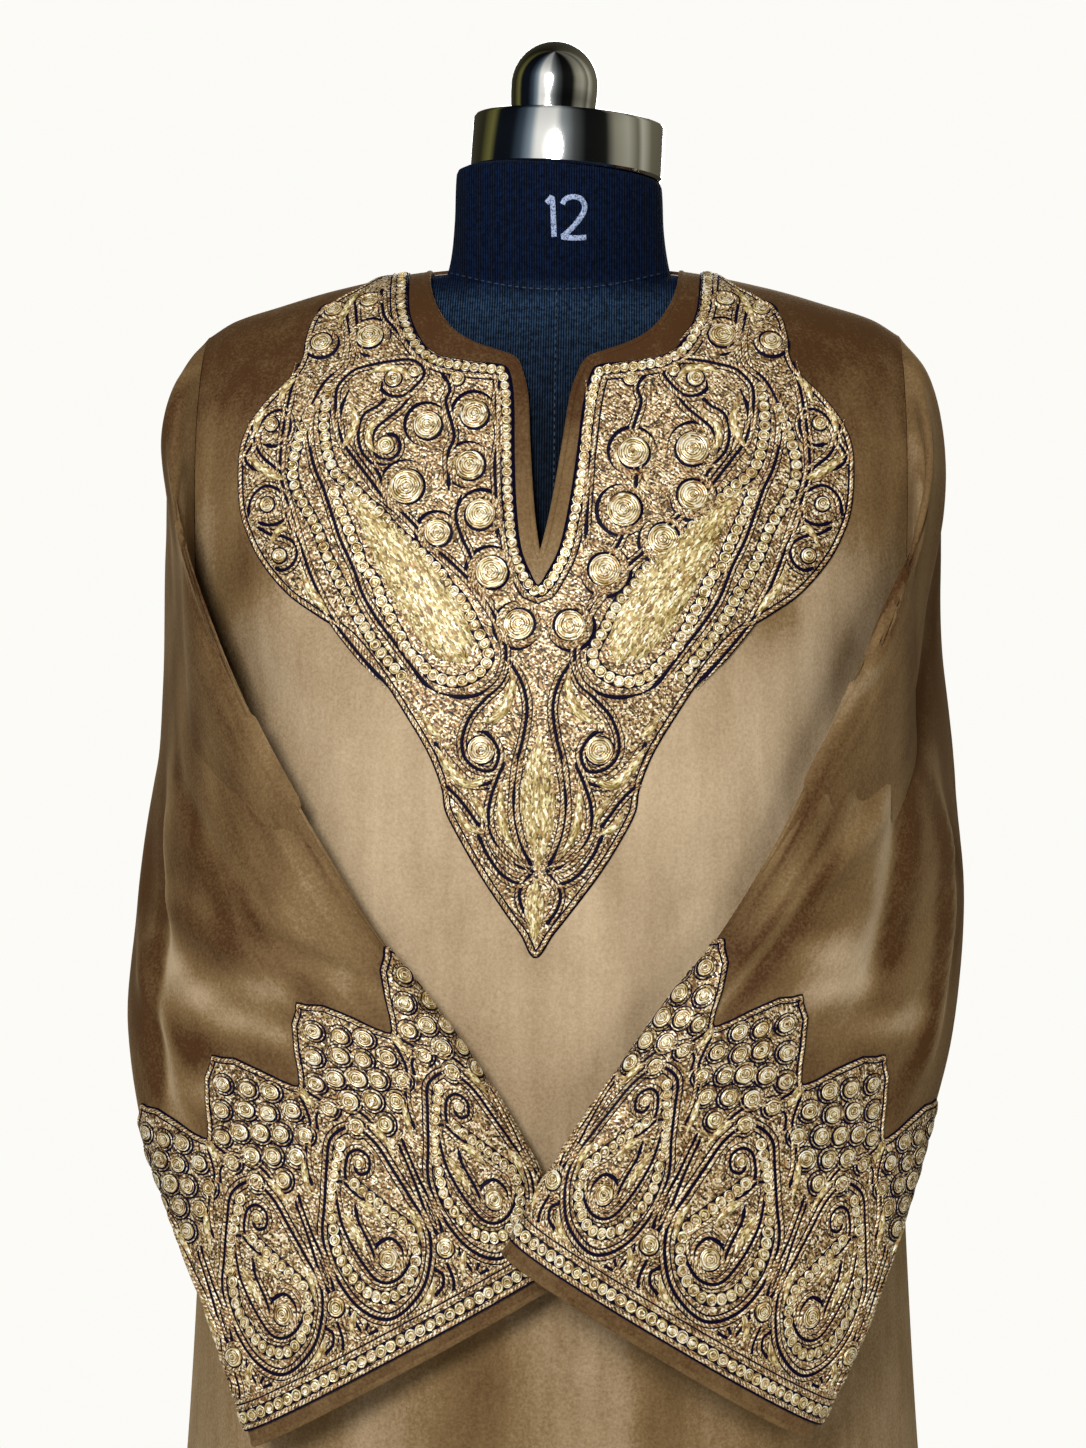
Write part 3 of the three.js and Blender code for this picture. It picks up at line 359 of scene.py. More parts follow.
# How far the folds lift the cloth of a sleeve
def sleeve_rise(sleeve, angle, along):
    degrees = np.degrees(angle) % 360
    rise = np.zeros_like(degrees)
    for start, begin, end, finish, width, depth in sleeve["folds"]:
        share = np.clip((along - begin) / (finish - begin), 0, 1)
        off = (degrees - (start + (end - start) * share) + 180) % 360 - 180
        near = ramp(along, begin - FOLD_FADE, begin + FOLD_FADE)
        near = near * (1 - ramp(along, finish - FOLD_FADE, finish + FOLD_FADE))
        rise += depth * near * np.exp(-((off / width) ** 2))
    return rise


# Point of a sleeve at an angle and a share along it, moved out by a height
def sleeve_point(sleeve, angle, along, height):
    angle, along = np.broadcast_arrays(np.asarray(angle, float), np.asarray(along, float))
    turn, step = 0.006, 0.002
    round_it = tube_point(sleeve, angle + turn, along) - tube_point(sleeve, angle - turn, along)
    down = tube_point(sleeve, angle, np.minimum(along + step, 1))
    down = down - tube_point(sleeve, angle, np.maximum(along - step, 0))
    out = unit(np.cross(down, round_it)) * sleeve["sign"]
    flat = out.copy()
    flat[..., 0] = 0
    out = np.where((along <= 0)[..., None], unit(flat), out)
    rise = np.asarray(height) + sleeve_rise(sleeve, angle, along)
    return tube_point(sleeve, angle, along) + out * rise[..., None]


SLEEVES = {
    "right": {"sign": -1, "sections": RIGHT_SLEEVE, "folds": RIGHT_FOLDS},
    "left": {"sign": 1, "sections": LEFT_SLEEVE, "folds": LEFT_FOLDS},
}

# Width of a repeat in the cuffs' drawing, whatever the sleeve's own girth
REPEAT = 72.3
WHOLE_CUFF = REPEAT * CUFF_REPEATS
# Where the repeats on the outer face begin round each cuff; the others share the rest
REPEAT_STARTS = {"right": (2, 68, 138, 206), "left": (5, 66, 140, 200)}

# Tables that turn distances round and up a cuff into a sleeve's angle and share along
CUFF_ANGLES = np.linspace(0, 2 * math.pi, 361)
CUFF_ALONGS = np.linspace(1, 0.5, 101)
for name, sleeve in SLEEVES.items():
    sleeve["starts"] = REPEAT_STARTS[name]
    ring = tube_point(sleeve, CUFF_ANGLES, 1.0)
    walked = np.linalg.norm(np.diff(ring, axis=0), axis=1)
    sleeve["round"] = np.concatenate([[0], np.cumsum(walked)])
    sleeve["girth"] = sleeve["round"][-1]
    wall = tube_point(sleeve, CUFF_ANGLES[:, None], CUFF_ALONGS[None, :])
    climbed = np.linalg.norm(np.diff(wall, axis=1), axis=2)
    sleeve["up"] = np.pad(np.cumsum(climbed, axis=1), ((0, 0), (1, 0)))


# Points on a cuff for flat points of distance round it, height above the embroidery's edge and rise
def on_cuff(sleeve, flat):
    u, v, rise = np.asarray(flat, float).T
    starts = np.array([*sleeve["starts"], sleeve["starts"][0] + sleeve["girth"]])
    repeats = np.array([0, 1, 2, 3, CUFF_REPEATS])
    walked = np.interp((u / REPEAT) % CUFF_REPEATS, repeats, starts)
    angle = np.interp(walked % sleeve["girth"], sleeve["round"], CUFF_ANGLES)
    row = np.interp(angle, CUFF_ANGLES, np.arange(len(CUFF_ANGLES)))
    low = np.minimum(row.astype(int), len(CUFF_ANGLES) - 2)
    part = (row - low)[:, None]
    climb = sleeve["up"][low] * (1 - part) + sleeve["up"][low + 1] * part
    goal = (v + CUFF_PLAIN_EDGE)[:, None]
    step = np.clip((climb < goal).sum(axis=1), 1, climb.shape[1] - 1)
    pick = np.arange(len(u))
    before, after = climb[pick, step - 1], climb[pick, step]
    place = step - 1 + (goal[:, 0] - before) / (after - before)
    along = 1 - 0.5 * place / (len(CUFF_ALONGS) - 1)
    return sleeve_point(sleeve, angle, along, rise)


# Colour of a material from its sRGB hex value
def paint(text):
    value = np.array([int(text[k : k + 2], 16) for k in (1, 3, 5)]) / 255
    linear = np.where(value < 0.04045, value / 12.92, ((value + 0.055) / 1.055) ** 2.4)
    return (*linear, 1)


def grey(value):
    return (value, value, value, 1)


# Adds a node with its settings and its inputs' values or links
def put(tree, kind, inputs=None, **settings):
    made = tree.nodes.new(kind)
    for name, value in settings.items():
        setattr(made, name, value)
    for name, value in (inputs or {}).items():
        if isinstance(value, bpy.types.NodeSocket):
            tree.links.new(value, made.inputs[name])
        else:
            made.inputs[name].default_value = value
    return made


def object_place(tree):
    return put(tree, "ShaderNodeTexCoord").outputs["Object"]


def calculate(tree, operation, *values):
    return put(tree, "ShaderNodeMath", dict(enumerate(values)), operation=operation).outputs[0]


def noise(tree, place, scale, detail=2.0, **more):
    inputs = {"Vector": place, "Scale": scale, "Detail": detail, **more}
    return put(tree, "ShaderNodeTexNoise", inputs).outputs["Fac"]


def scaled(tree, place, scale):
    return put(tree, "ShaderNodeMapping", {"Vector": place, "Scale": scale}).outputs["Vector"]


# Colours over a value: the place and colour of each stop
def colour_ramp(tree, value, stops):
    made = put(tree, "ShaderNodeValToRGB", {"Fac": value})
    band = made.color_ramp.elements
    for k, (place, colour) in enumerate(stops):
        stop = band[k] if k < 2 else band.new(place)
        stop.position = place
        stop.color = colour
    return made.outputs["Color"]


# Fine relief of a shader from a height value
def relief(tree, shader, height, strength, distance):
    inputs = {"Height": height, "Strength": strength, "Distance": distance}
    bump = put(tree, "ShaderNodeBump", inputs)
    tree.links.new(bump.outputs["Normal"], shader.inputs["Normal"])


# A node material with only its output and its shader
def new_material(name, **sockets):
    material = bpy.data.materials.new(name)
    material.use_nodes = True
    tree = material.node_tree
    tree.nodes.clear()
    inputs = {key.replace("_", " "): value for key, value in sockets.items()}
    shader = put(tree, "ShaderNodeBsdfPrincipled", inputs)
    put(tree, "ShaderNodeOutputMaterial", {"Surface": shader.outputs["BSDF"]})
    return material, tree, shader


# Polyester velvet, short dense pile: soft sheen along folds, patches where the pile lies another way.
# An attribute holds the pile's tone with painted light and shade, and lie is how it is brushed.
def velvet_material(name, dark, middle, light):
    material, tree, shader = new_material(
        name, Roughness=0.8, Specular_IOR_Level=0.2, Sheen_Weight=0.25, Sheen_Roughness=0.4,
        Sheen_Tint=paint("#cdb48c"),
    )
    place = object_place(tree)
    # Patches of brushed pile, 25 to 60 mm wide
    patches = noise(tree, place, 24.0, 4.0, Distortion=0.4)
    # Brush strokes down the cloth, 8 to 15 mm wide
    down_cloth = put(tree, "ShaderNodeAttribute", attribute_name="lie").outputs["Vector"]
    strokes = noise(tree, scaled(tree, down_cloth, (1.0, 1.0, 0.16)), 80.0, 4.0, Roughness=0.62)
    # Pile tips, drawn 1.7 mm apart so that they show
    tips = noise(tree, place, 600.0, 2.0, Roughness=0.7)
    # Tone of the pile with painted light and shade, by vertex
    total = put(tree, "ShaderNodeAttribute", attribute_name="pile_and_shading").outputs["Fac"]
    for texture, weight in ((patches, 0.26), (strokes, 0.34), (tips, 0.5)):
        total = calculate(tree, "MULTIPLY_ADD", texture, weight, total)
    # The textures' weights add this much in the mean
    total = calculate(tree, "SUBTRACT", total, 0.55)
    colour = colour_ramp(tree, total, [(0.0, paint(dark)), (0.4, paint(middle)), (1.0, paint(light))])
    tree.links.new(colour, shader.inputs["Base Color"])
    relief(tree, shader, tips, 0.4, 0.0006)
    return material


# How each kind of gilt thread lies, and how its light is painted. Glint: length and width of a
# facet, in metres. Turns: waves a metre along and across the thread. Waves and glints: their weights,
# the waves painting light on the crests and shade between them and the glints painted highlights.
# Last: spread and mean of the painted sheen, lengths of brighter and duller glitter.
THREADS = {
    "ground": {"waves": 0.24, "glints": 0.84, "painted_sheen": (0.36, -0.2)},
    # Twist of a cord, 2.4 mm long
    "cord": {
        "glint": (0.0013, 0.0009), "turns": (420.0, 420.0, 0), "waves": 0.4, "glints": 0.66,
        "painted_sheen": (0.5, -0.25),
    },
    # Turns of a coil, 1.3 mm apart
    "coil": {
        "glint": (0.0011, 0.0012), "turns": (30.0, 760.0, 0), "waves": 0.42, "glints": 0.64,
        "painted_sheen": (0.4, -0.15),
    },
    # Rows of threads along a leaf, 4.5 mm apart
    "satin": {
        "glint": (0.0018, 0.0008), "turns": (8.0, 220.0, 0), "waves": 0.15, "glints": 0.66,
        "painted_sheen": (0.5, -0.13),
    },
}


# Chain stitch: rows 1.8 mm apart that bend round the shapes, and the facets of its loops
def ground_pattern(tree, place):
    rows = put(
        tree, "ShaderNodeTexWave",
        {
            "Vector": place, "Scale": 175.0, "Distortion": 24.0, "Detail": 1.0,
            "Detail Scale": 0.45, "Detail Roughness": 0.5,
        },
        wave_type="BANDS", bands_direction="DIAGONAL",
    )
    cells = put(tree, "ShaderNodeTexVoronoi", {"Vector": place, "Scale": 980.0})
    return rows.outputs["Fac"], cells.outputs["Color"]


# Laid thread: waves and facets that follow the thread's own UV map
def laid_pattern(tree, place, thread):
    along = put(tree, "ShaderNodeUVMap", uv_map="thread").outputs["UV"]
    length, width = thread["glint"]
    facets = scaled(tree, along, (1 / length, 1 / width, 1.0))
    cells = put(tree, "ShaderNodeTexVoronoi", {"Vector": facets, "Scale": 1.0})
    parts = put(tree, "ShaderNodeSeparateXYZ", {"Vector": scaled(tree, along, thread["turns"])})
    turns = calculate(tree, "ADD", parts.outputs["X"], parts.outputs["Y"])
    uneven = calculate(tree, "MULTIPLY_ADD", noise(tree, place, 500.0), 0.4, turns)
    wave = calculate(tree, "SINE", calculate(tree, "MULTIPLY", uneven, 2 * math.pi))
    return calculate(tree, "MULTIPLY_ADD", wave, 0.5, 0.5), cells.outputs["Color"]


# Gilt metal thread, its light painted in its colour: bright crowns of thread over a painted copper
# shadow, with painted glints on its facets
def thread_material(name, kind, colours, metal, rough):
    material, tree, shader = new_material(name, Metallic=metal, Roughness=rough)
    thread = THREADS[kind]
    place = object_place(tree)
    if kind == "ground":
        waves, facets = ground_pattern(tree, place)
    else:
        waves, facets = laid_pattern(tree, place, thread)
    parted = put(tree, "ShaderNodeSeparateColor", {"Color": facets})
    # Painted sheen: brighter and duller lengths of glitter, 5 to 12 mm long
    spread, mean = thread["painted_sheen"]
    shade = calculate(tree, "MULTIPLY_ADD", noise(tree, place, 130.0), spread, mean)
    shade = calculate(tree, "MULTIPLY_ADD", parted.outputs["Red"], thread["glints"], shade)
    shade = calculate(tree, "MULTIPLY_ADD", waves, thread["waves"], shade)
    # Colours of painted shade, gilt, lit gilt and painted highlight
    stops = [(at, paint(text)) for at, text in zip((0.16, 0.46, 0.7, 0.9), colours)]
    gilt = colour_ramp(tree, shade, stops)
    # Here and there a facet shows the copper under the gilt
    copper = put(
        tree, "ShaderNodeMapRange",
        {"Value": parted.outputs["Green"], "From Min": 0.7, "From Max": 0.82, "To Max": 0.4},
    )
    mixed = put(
        tree, "ShaderNodeMix",
        {"Factor": copper.outputs["Result"], 6: gilt, 7: paint("#a2663a")}, data_type="RGBA",
    )
    tree.links.new(mixed.outputs[2], shader.inputs["Base Color"])
    relief(tree, shader, shade, 0.85, 0.0007)
    return material


velvet = velvet_material("taupe_velvet", "#40260c", "#725a39", "#b7a182")
gold_ground = thread_material(
    "gilt_chain_stitch", "ground", ("#120a08", "#7a6038", "#c8ac76", "#f8eed4"), 0.3, 0.5
)
gold_cord = thread_material(
    "gilt_twisted_cord", "cord", ("#2c1a16", "#9a7746", "#d8c190", "#fbf3dc"), 0.3, 0.45
)
gold_coil = thread_material(
    "gilt_coil", "coil", ("#44301a", "#b29553", "#ead9a8", "#fffcec"), 0.3, 0.32
)
gold_satin = thread_material(
    "gilt_satin_stitch", "satin", ("#52401e", "#a89050", "#ddd09c", "#fcf8e2"), 0.12, 0.5
)

# Navy silk line between the cords
navy, tree, shader = new_material(
    "navy_silk_thread", Base_Color=paint("#08041c"), Roughness=0.6, Specular_IOR_Level=0.08
)
relief(tree, shader, noise(tree, object_place(tree), 1400.0), 0.5, 0.0004)

# Cotton jersey over the form: navy black, with fine upright ribs
jersey, tree, shader = new_material(
    "navy_jersey", Roughness=0.9, Specular_IOR_Level=0.08, Sheen_Weight=0.05,
    Sheen_Tint=paint("#5c6f92"),
)
place = object_place(tree)
# Ribs 1.4 mm apart, on lines of equal x
ribs = put(
    tree, "ShaderNodeTexWave",
    {"Vector": place, "Scale": 225.0, "Distortion": 0.6, "Detail": 1.0, "Detail Scale": 4.0},
    wave_type="BANDS", bands_direction="X",
)
lint = noise(tree, place, 350.0, 3.0, Roughness=0.7)
knit = calculate(tree, "MULTIPLY_ADD", ribs.outputs["Fac"], 0.45, lint)
colour = colour_ramp(
    tree, knit, [(0.4, paint("#02050a")), (0.7, paint("#0b1726")), (1.0, paint("#2a3f58"))]
)
# Painted light and shade by height: the upper chest, which tilts up to the light, is painted lighter;
# the neck, and the jersey lower down, are painted darker, the neck with a bluer tint
height = put(tree, "ShaderNodeSeparateXYZ", {"Vector": place}).outputs["Z"]
chest = put(tree, "ShaderNodeMapRange", {"Value": height, "From Min": 1.2, "From Max": 1.4})
painted_shade_by_height = [
    (0.0, grey(0.18)), (0.5, grey(0.24)), (0.76, grey(0.6)), (0.88, grey(1.0)),
    (0.95, (0.12, 0.2, 0.36, 1)),
]
painted_shade_on_jersey = colour_ramp(tree, chest.outputs["Result"], painted_shade_by_height)
shaded_knit = put(tree, "ShaderNodeVectorMath", {0: colour, 1: painted_shade_on_jersey}, operation="MULTIPLY")
tree.links.new(shaded_knit.outputs[0], shader.inputs["Base Color"])
relief(tree, shader, knit, 0.5, 0.0005)

# Slate sewing thread on the jersey
stitch_thread = new_material("slate_sewing_thread", Base_Color=paint("#222d40"), Roughness=0.7)[0]

# Polished chrome over steel: sharp reflections, a few faint wipe marks
chrome, tree, shader = new_material("polished_chrome", Base_Color=paint("#d9d8d2"), Metallic=1.0)
wipes = noise(tree, object_place(tree), 45.0, 4.0)
gloss = put(tree, "ShaderNodeMapRange", {"Value": wipes, "To Min": 0.05, "To Max": 0.14})
tree.links.new(gloss.outputs["Result"], shader.inputs["Roughness"])

# Tailor's chalk rubbed on the jersey
chalk, tree, shader = new_material("tailors_chalk", Roughness=0.95)
grain = noise(tree, object_place(tree), 900.0, 3.0, Roughness=0.8)
colour = colour_ramp(tree, grain, [(0.38, paint("#39455f")), (0.55, paint("#9aa8c6"))])
tree.links.new(colour, shader.inputs["Base Color"])

# Pale matt studio floor
floor_paint, tree, shader = new_material("pale_floor", Roughness=0.9)
mottle = noise(tree, object_place(tree), 6.0)
colour = colour_ramp(tree, mottle, [(0.3, paint("#dedbd4")), (0.8, paint("#e6e3dc"))])
tree.links.new(colour, shader.inputs["Base Color"])


# A finished piece: rides on the body and stands for its CAD nodes
def finished(piece, slot, material, *nodes):
    piece.data.materials.clear()
    piece.data.materials.append(material)
    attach(piece, "root")
    if nodes:
        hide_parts(*nodes)
    return piece


def new_object(name, points, faces, edges=()):
    mesh = bpy.data.meshes.new(name)
    mesh.from_pydata((np.asarray(points).reshape(-1, 3) * MM).tolist(), edges, faces)
    mesh.update()
    piece = bpy.data.objects.new(name, mesh)
    bpy.context.scene.collection.objects.link(piece)
    return piece


def choose(piece):
    bpy.ops.object.select_all(action="DESELECT")
    piece.select_set(True)
    bpy.context.view_layer.objects.active = piece


def apply_modifier(piece, kind, **settings):
    choose(piece)
    modifier = piece.modifiers.new(kind.lower(), kind)
    for name, value in settings.items():
        setattr(modifier, name, value)
    bpy.ops.object.modifier_apply(modifier=modifier.name)


def smooth(piece, degrees):
    choose(piece)
    bpy.ops.object.shade_smooth_by_angle(angle=math.radians(degrees))


# Faces of a grid of rows and columns of points; wrapped joins the last column to the first
def grid_faces(rows, columns, wrapped=False, turned=False):
    i, j = np.mgrid[0 : rows - 1, 0 : columns if wrapped else columns - 1]
    here, right = i * columns + j, i * columns + (j + 1) % columns
    corners = [here, right, right + columns, here + columns]
    if turned:
        corners.reverse()
    return np.stack(corners, -1).reshape(-1, 4).tolist()


# Sheet of cloth over a grid of points, given its thickness inwards
def cloth(name, grid, wrapped, turned):
    rows, columns = grid.shape[:2]
    piece = new_object(name, grid, grid_faces(rows, columns, wrapped, turned))
    apply_modifier(
        piece, "SOLIDIFY", thickness=CLOTH * MM, offset=-1, use_even_offset=False, use_rim=True,
    )
    smooth(piece, 50)
    return piece


def places_of(piece):
    points = np.empty(len(piece.data.vertices) * 3)
    piece.data.vertices.foreach_get("co", points)
    return points.reshape(-1, 3) / MM


# Gives a velvet piece, by vertex, its pile tone with painted light and shade and its brush strokes' run
def paint_pile_and_shading(piece, pile_and_shading, lie=None):
    lie = places_of(piece) * MM if lie is None else lie
    attribute = piece.data.attributes.new("pile_and_shading", "FLOAT", "POINT")
    attribute.data.foreach_set("value", np.clip(pile_and_shading, 0, 1))
    attribute = piece.data.attributes.new("lie", "FLOAT_VECTOR", "POINT")
    attribute.data.foreach_set("vector", lie.ravel())


# Soft patches of lighter and darker pile and of painted light and shade: x, z, half width, half height,
# amount
def patches_at(x, z, patches):
    total = np.zeros_like(x)
    for patch_x, patch_z, wide, high, amount in patches:
        away = ((x - patch_x) / wide) ** 2 + ((z - patch_z) / high) ** 2
        total += amount * np.exp(-away)
    return total


# Pile and painted light of the plain body and sleeves, the painted shade over the shoulders, and the
# painted light gained for a fold's slope of 1
BODY_BASE_PILE_AND_SHADE, SLEEVE_BASE_PILE_AND_SHADE, SHOULDER_PAINTED_SHADE, FOLD_PAINTED_LIGHT = 0.4, 0.19, 0.42, 0.9
# Patches of the front's pile and of painted light and shade, among them painted shade beside the yoke's
# lower edges and on the skirt under the cuffs
FRONT_PILE_AND_SHADE = [
    (-80, 1110, 130, 110, 0.42), (100, 1120, 110, 100, 0.36), (0, 990, 150, 90, 0.26),
    (0, 1100, 38, 34, -0.24), (-6, 1160, 22, 18, -0.1), (52, 1085, 16, 60, 0.12),
    (-150, 1225, 30, 40, 0.26), (152, 1215, 30, 40, 0.24), (0, 640, 260, 190, 0.2),
    (-180, 1290, 26, 60, 0.08), (175, 1320, 26, 40, 0.1), (-40, 900, 60, 40, 0.2),
    (60, 1000, 30, 46, 0.12), (-100, 1040, 24, 50, -0.1), (110, 1050, 20, 40, -0.12),
    (-60, 700, 20, 90, -0.14), (40, 720, 26, 80, 0.12), (140, 700, 22, 120, -0.16),
    (-150, 690, 20, 110, 0.12), (-166, 1224, 20, 32, -0.5), (130, 1206, 20, 22, -0.42),
    (146, 1180, 12, 44, 0.24), (124, 1118, 12, 36, 0.18), (20, 1024, 14, 30, -0.14),
    (-118, 1110, 8, 34, -0.16), (-92, 1060, 7, 60, 0.08), (-72, 1120, 6, 50, -0.08),
    (60, 1090, 6, 60, -0.08), (-30, 1000, 6, 50, -0.07), (-192, 1285, 6, 60, 0.16),
    (194, 1300, 6, 50, 0.12), (-20, 770, 30, 50, -0.2), (60, 770, 40, 40, -0.16),
]
BACK_NAP = [
    (-60, 1150, 110, 150, 0.2), (90, 1080, 90, 140, 0.16), (0, 760, 200, 160, 0.18),
    (10, 1010, 30, 120, -0.16), (-130, 900, 26, 150, -0.12), (130, 860, 30, 160, 0.14),
]


# Painted light and shade of the body over its pile: painted darker over the shoulders, and lighter
# on the flank of a fold that turns to the light
def body_pile_and_shading(points):
    x, y, z = points.T
    step = 2
    pile_and_shading = []
    for side, patches in ((-1, FRONT_PILE_AND_SHADE), (1, BACK_NAP)):
        half = body_half(z)
        higher = fold_rise(side, np.clip((x + step) / half, -1, 1), z)
        lower = fold_rise(side, np.clip((x - step) / half, -1, 1), z)
        pile_and_shading.append(patches_at(x, z, patches) + FOLD_PAINTED_LIGHT * (higher - lower) / (2 * step))
    return BODY_BASE_PILE_AND_SHADE - SHOULDER_PAINTED_SHADE * ramp(z, 1200, 1360) + np.where(y < MIDDLE_Y, *pile_and_shading)


# Patches of the sleeves' pile and of painted light and shade, with painted highlights along folds,
# seen from the front: the viewer's left, then the viewer's right
SLEEVE_PILE_AND_SHADE = {
    "right": [
        (-196, 1180, 26, 130, -0.08), (-226, 1060, 24, 90, -0.1), (-160, 1130, 16, 90, 0.08),
        (-220, 1022, 9, 9, 0.34), (-206, 1010, 12, 9, 0.46), (-188, 997, 15, 9, 0.5),
        (-166, 986, 18, 8, 0.46), (-142, 980, 14, 7, 0.3), (-104, 1012, 12, 20, 0.24),
        (-206, 1036, 18, 8, -0.22), (-180, 1030, 18, 9, -0.16), (-148, 1006, 22, 10, 0.36),
        (-226, 985, 9, 36, -0.22), (-190, 968, 16, 8, -0.16), (-176, 946, 24, 9, 0.4),
        (-205, 925, 10, 20, 0.2), (-130, 1075, 14, 60, 0.1), (-170, 1090, 9, 70, -0.08),
        (-60, 840, 90, 24, -0.02), (-180, 850, 20, 80, 0.08), (-110, 1040, 30, 16, 0.1),
        (-203, 1290, 5, 50, 0.26), (-212, 1230, 5, 40, -0.12), (-150, 1150, 6, 60, 0.1),
        (-122, 1050, 16, 24, 0.1), (-186, 1130, 7, 60, 0.1), (-196, 1080, 6, 40, -0.08),
    ],
    "left": [
        (212, 1260, 16, 60, 0.06), (154, 1026, 20, 13, 0.5),
        (146, 1008, 18, 8, 0.4), (124, 1000, 16, 7, 0.26), (174, 1008, 20, 9, 0.26),
        (104, 1032, 20, 12, -0.14), (136, 1042, 20, 7, -0.12), (205, 1000, 12, 36, 0.14),
        (150, 1160, 14, 50, -0.1), (166, 1100, 14, 60, 0.08), (190, 1100, 9, 60, 0.16),
        (213, 1040, 8, 80, 0.08), (130, 1070, 12, 30, 0.06), (60, 845, 90, 24, -0.04),
        (188, 985, 26, 9, 0.4), (203, 1300, 5, 46, 0.24), (140, 1090, 10, 40, -0.08),
        (176, 1150, 6, 50, 0.12), (200, 1160, 5, 60, -0.1), (120, 1110, 6, 40, 0.08),
    ],
}


# Painted light and shade from the folds of a sleeve and from its pressed front fold, at angles and
# shares along: a painted highlight along the pressed edge and painted shade just beside it
def painted_fold_shading(sleeve, angle, along):
    turn, step = 0.03, 0.01
    round_it = sleeve_rise(sleeve, angle + turn, along) - sleeve_rise(sleeve, angle - turn, along)
    down = sleeve_rise(sleeve, angle, along + step) - sleeve_rise(sleeve, angle, along - step)
    degrees = np.degrees(angle)
    painted_edge_highlight = 0.14 * np.exp(-(((degrees - 4) / 5) ** 2))
    painted_edge_shade = 0.2 * np.exp(-(((degrees - 13) / 2) ** 2))
    pressed = ramp(along, 0.02, 0.1) * (1 - ramp(along, 0.55, 0.62)) * (painted_edge_highlight - painted_edge_shade)
    return 0.09 * down - 0.14 * round_it + pressed


# Pile and painted light and shade of a sleeve: the patches in front, soft waves and weaker patches
# behind
def sleeve_pile_and_shading(points, name):
    x, y, z = points.T
    front = patches_at(x, z, SLEEVE_PILE_AND_SHADE[name])
    rear = 0.1 * np.sin(z / 47 + x / 90) * np.sin(z / 31 - 1)
    return SLEEVE_BASE_PILE_AND_SHADE + np.where(y < 0, front, rear + front * 0.3)


# Middle of the slit and the neckline, which leans to the left as it goes down
def neck_middle(z):
    return 2 - 0.045 * np.maximum(1345 - z, 0)


# Upright outline in x and z carried through y, to cut a neckline with
def neck_cutter(name, table, from_y, to_y):
    outline = [(neck_middle(z) - half, from_y, z) for z, half in table]
    outline += [(neck_middle(z) + half, from_y, z) for z, half in reversed(table)]
    piece = new_object(name, outline, [tuple(range(len(outline)))])
    choose(piece)
    bpy.ops.object.mode_set(mode="EDIT")
    bpy.ops.mesh.select_all(action="SELECT")
    through = (0, (to_y - from_y) * MM, 0)
    bpy.ops.mesh.extrude_region_move(TRANSFORM_OT_translate={"value": through})
    bpy.ops.mesh.select_all(action="SELECT")
    bpy.ops.mesh.normals_make_consistent(inside=False)
    bpy.ops.object.mode_set(mode="OBJECT")
    return piece


# Rows of the body: close together over the shoulder, wider down the skirt
ROUND_ROWS, CHEST_ROWS, SKIRT_ROWS = 26, 48, 170
CHEST_END = SHOULDER_TOP - ARMPIT_Z
drops = np.concatenate([
    SHOULDER_ROUNDING * (1 - np.cos(np.linspace(0, math.pi / 2, ROUND_ROWS, endpoint=False))),
    np.linspace(SHOULDER_ROUNDING, CHEST_END, CHEST_ROWS, endpoint=False),
    np.linspace(CHEST_END, SHOULDER_TOP - HEM_Z, SKIRT_ROWS + 1),
])
# Columns a little closer together towards the sides
turns = np.linspace(-0.5, 0.5, 121)
shares = 0.55 * np.sin(turns * math.pi) + 0.45 * 2 * turns
CUTTER_DEPTH = 260

for name, side, table in (("front", -1, FRONT_NECK), ("back", 1, BACK_NECK)):
    grid = body_point(side, shares[None, :], drops[:, None])
    panel = cloth("robe_" + name, grid, False, side < 0)
    near, far = sorted((MIDDLE_Y, MIDDLE_Y + side * CUTTER_DEPTH))
    cutter = neck_cutter(name + "_neck_cutter", table, near, far)
    apply_modifier(panel, "BOOLEAN", operation="DIFFERENCE", object=cutter, solver="EXACT")
    bpy.data.objects.remove(cutter)
    smooth(panel, 50)
    paint_pile_and_shading(panel, body_pile_and_shading(places_of(panel)))
    finished(panel, "velvet", velvet, name)

SLEEVE_COLUMNS, SLEEVE_ROWS = 144, 200
angles = np.linspace(0, 2 * math.pi, SLEEVE_COLUMNS, endpoint=False)
alongs = np.linspace(0, 1, SLEEVE_ROWS + 1)
angle, along = (part.ravel() for part in np.meshgrid(angles, alongs))
# The brush strokes of a sleeve, as on a straight tube of 80 mm radius and 0.55 m length
tube = np.column_stack([0.08 * np.cos(angle), 0.08 * np.sin(angle), 0.55 * along])
for name, sleeve in SLEEVES.items():
    grid = sleeve_point(sleeve, angles[None, :], alongs[:, None], 0.0)
    piece = cloth(name + "_sleeve_cloth", grid, True, sleeve["sign"] > 0)
    # The inner wall's points follow the outer wall's, in the same order
    pick = np.arange(len(piece.data.vertices)) % len(angle)
    # Painted light and shade of the folds, the same for both walls
    painted_fold_light = painted_fold_shading(sleeve, angle, along)[pick]
    paint_pile_and_shading(piece, sleeve_pile_and_shading(places_of(piece), name) + painted_fold_light, tube[pick])
    finished(piece, "velvet", velvet, name + "_sleeve")


# A set of stitched shapes drawn flat: points, faces and how the thread runs over them
def new_drawing():
    return {"points": [], "faces": [], "thread": [], "count": 0}


# Adds a shape to a drawing
def draw(drawing, points, faces, thread):
    start = drawing["count"]
    drawing["points"].append(np.asarray(points, float))
    drawing["faces"].append([[k + start for k in face] for face in faces])
    drawing["thread"].append(np.asarray(thread, float))
    drawing["count"] += len(points)


# Distance walked along a line at each of its points
def length_along(line):
    steps = np.linalg.norm(np.diff(line, axis=0), axis=1)
    return np.concatenate([[0], np.cumsum(steps)])


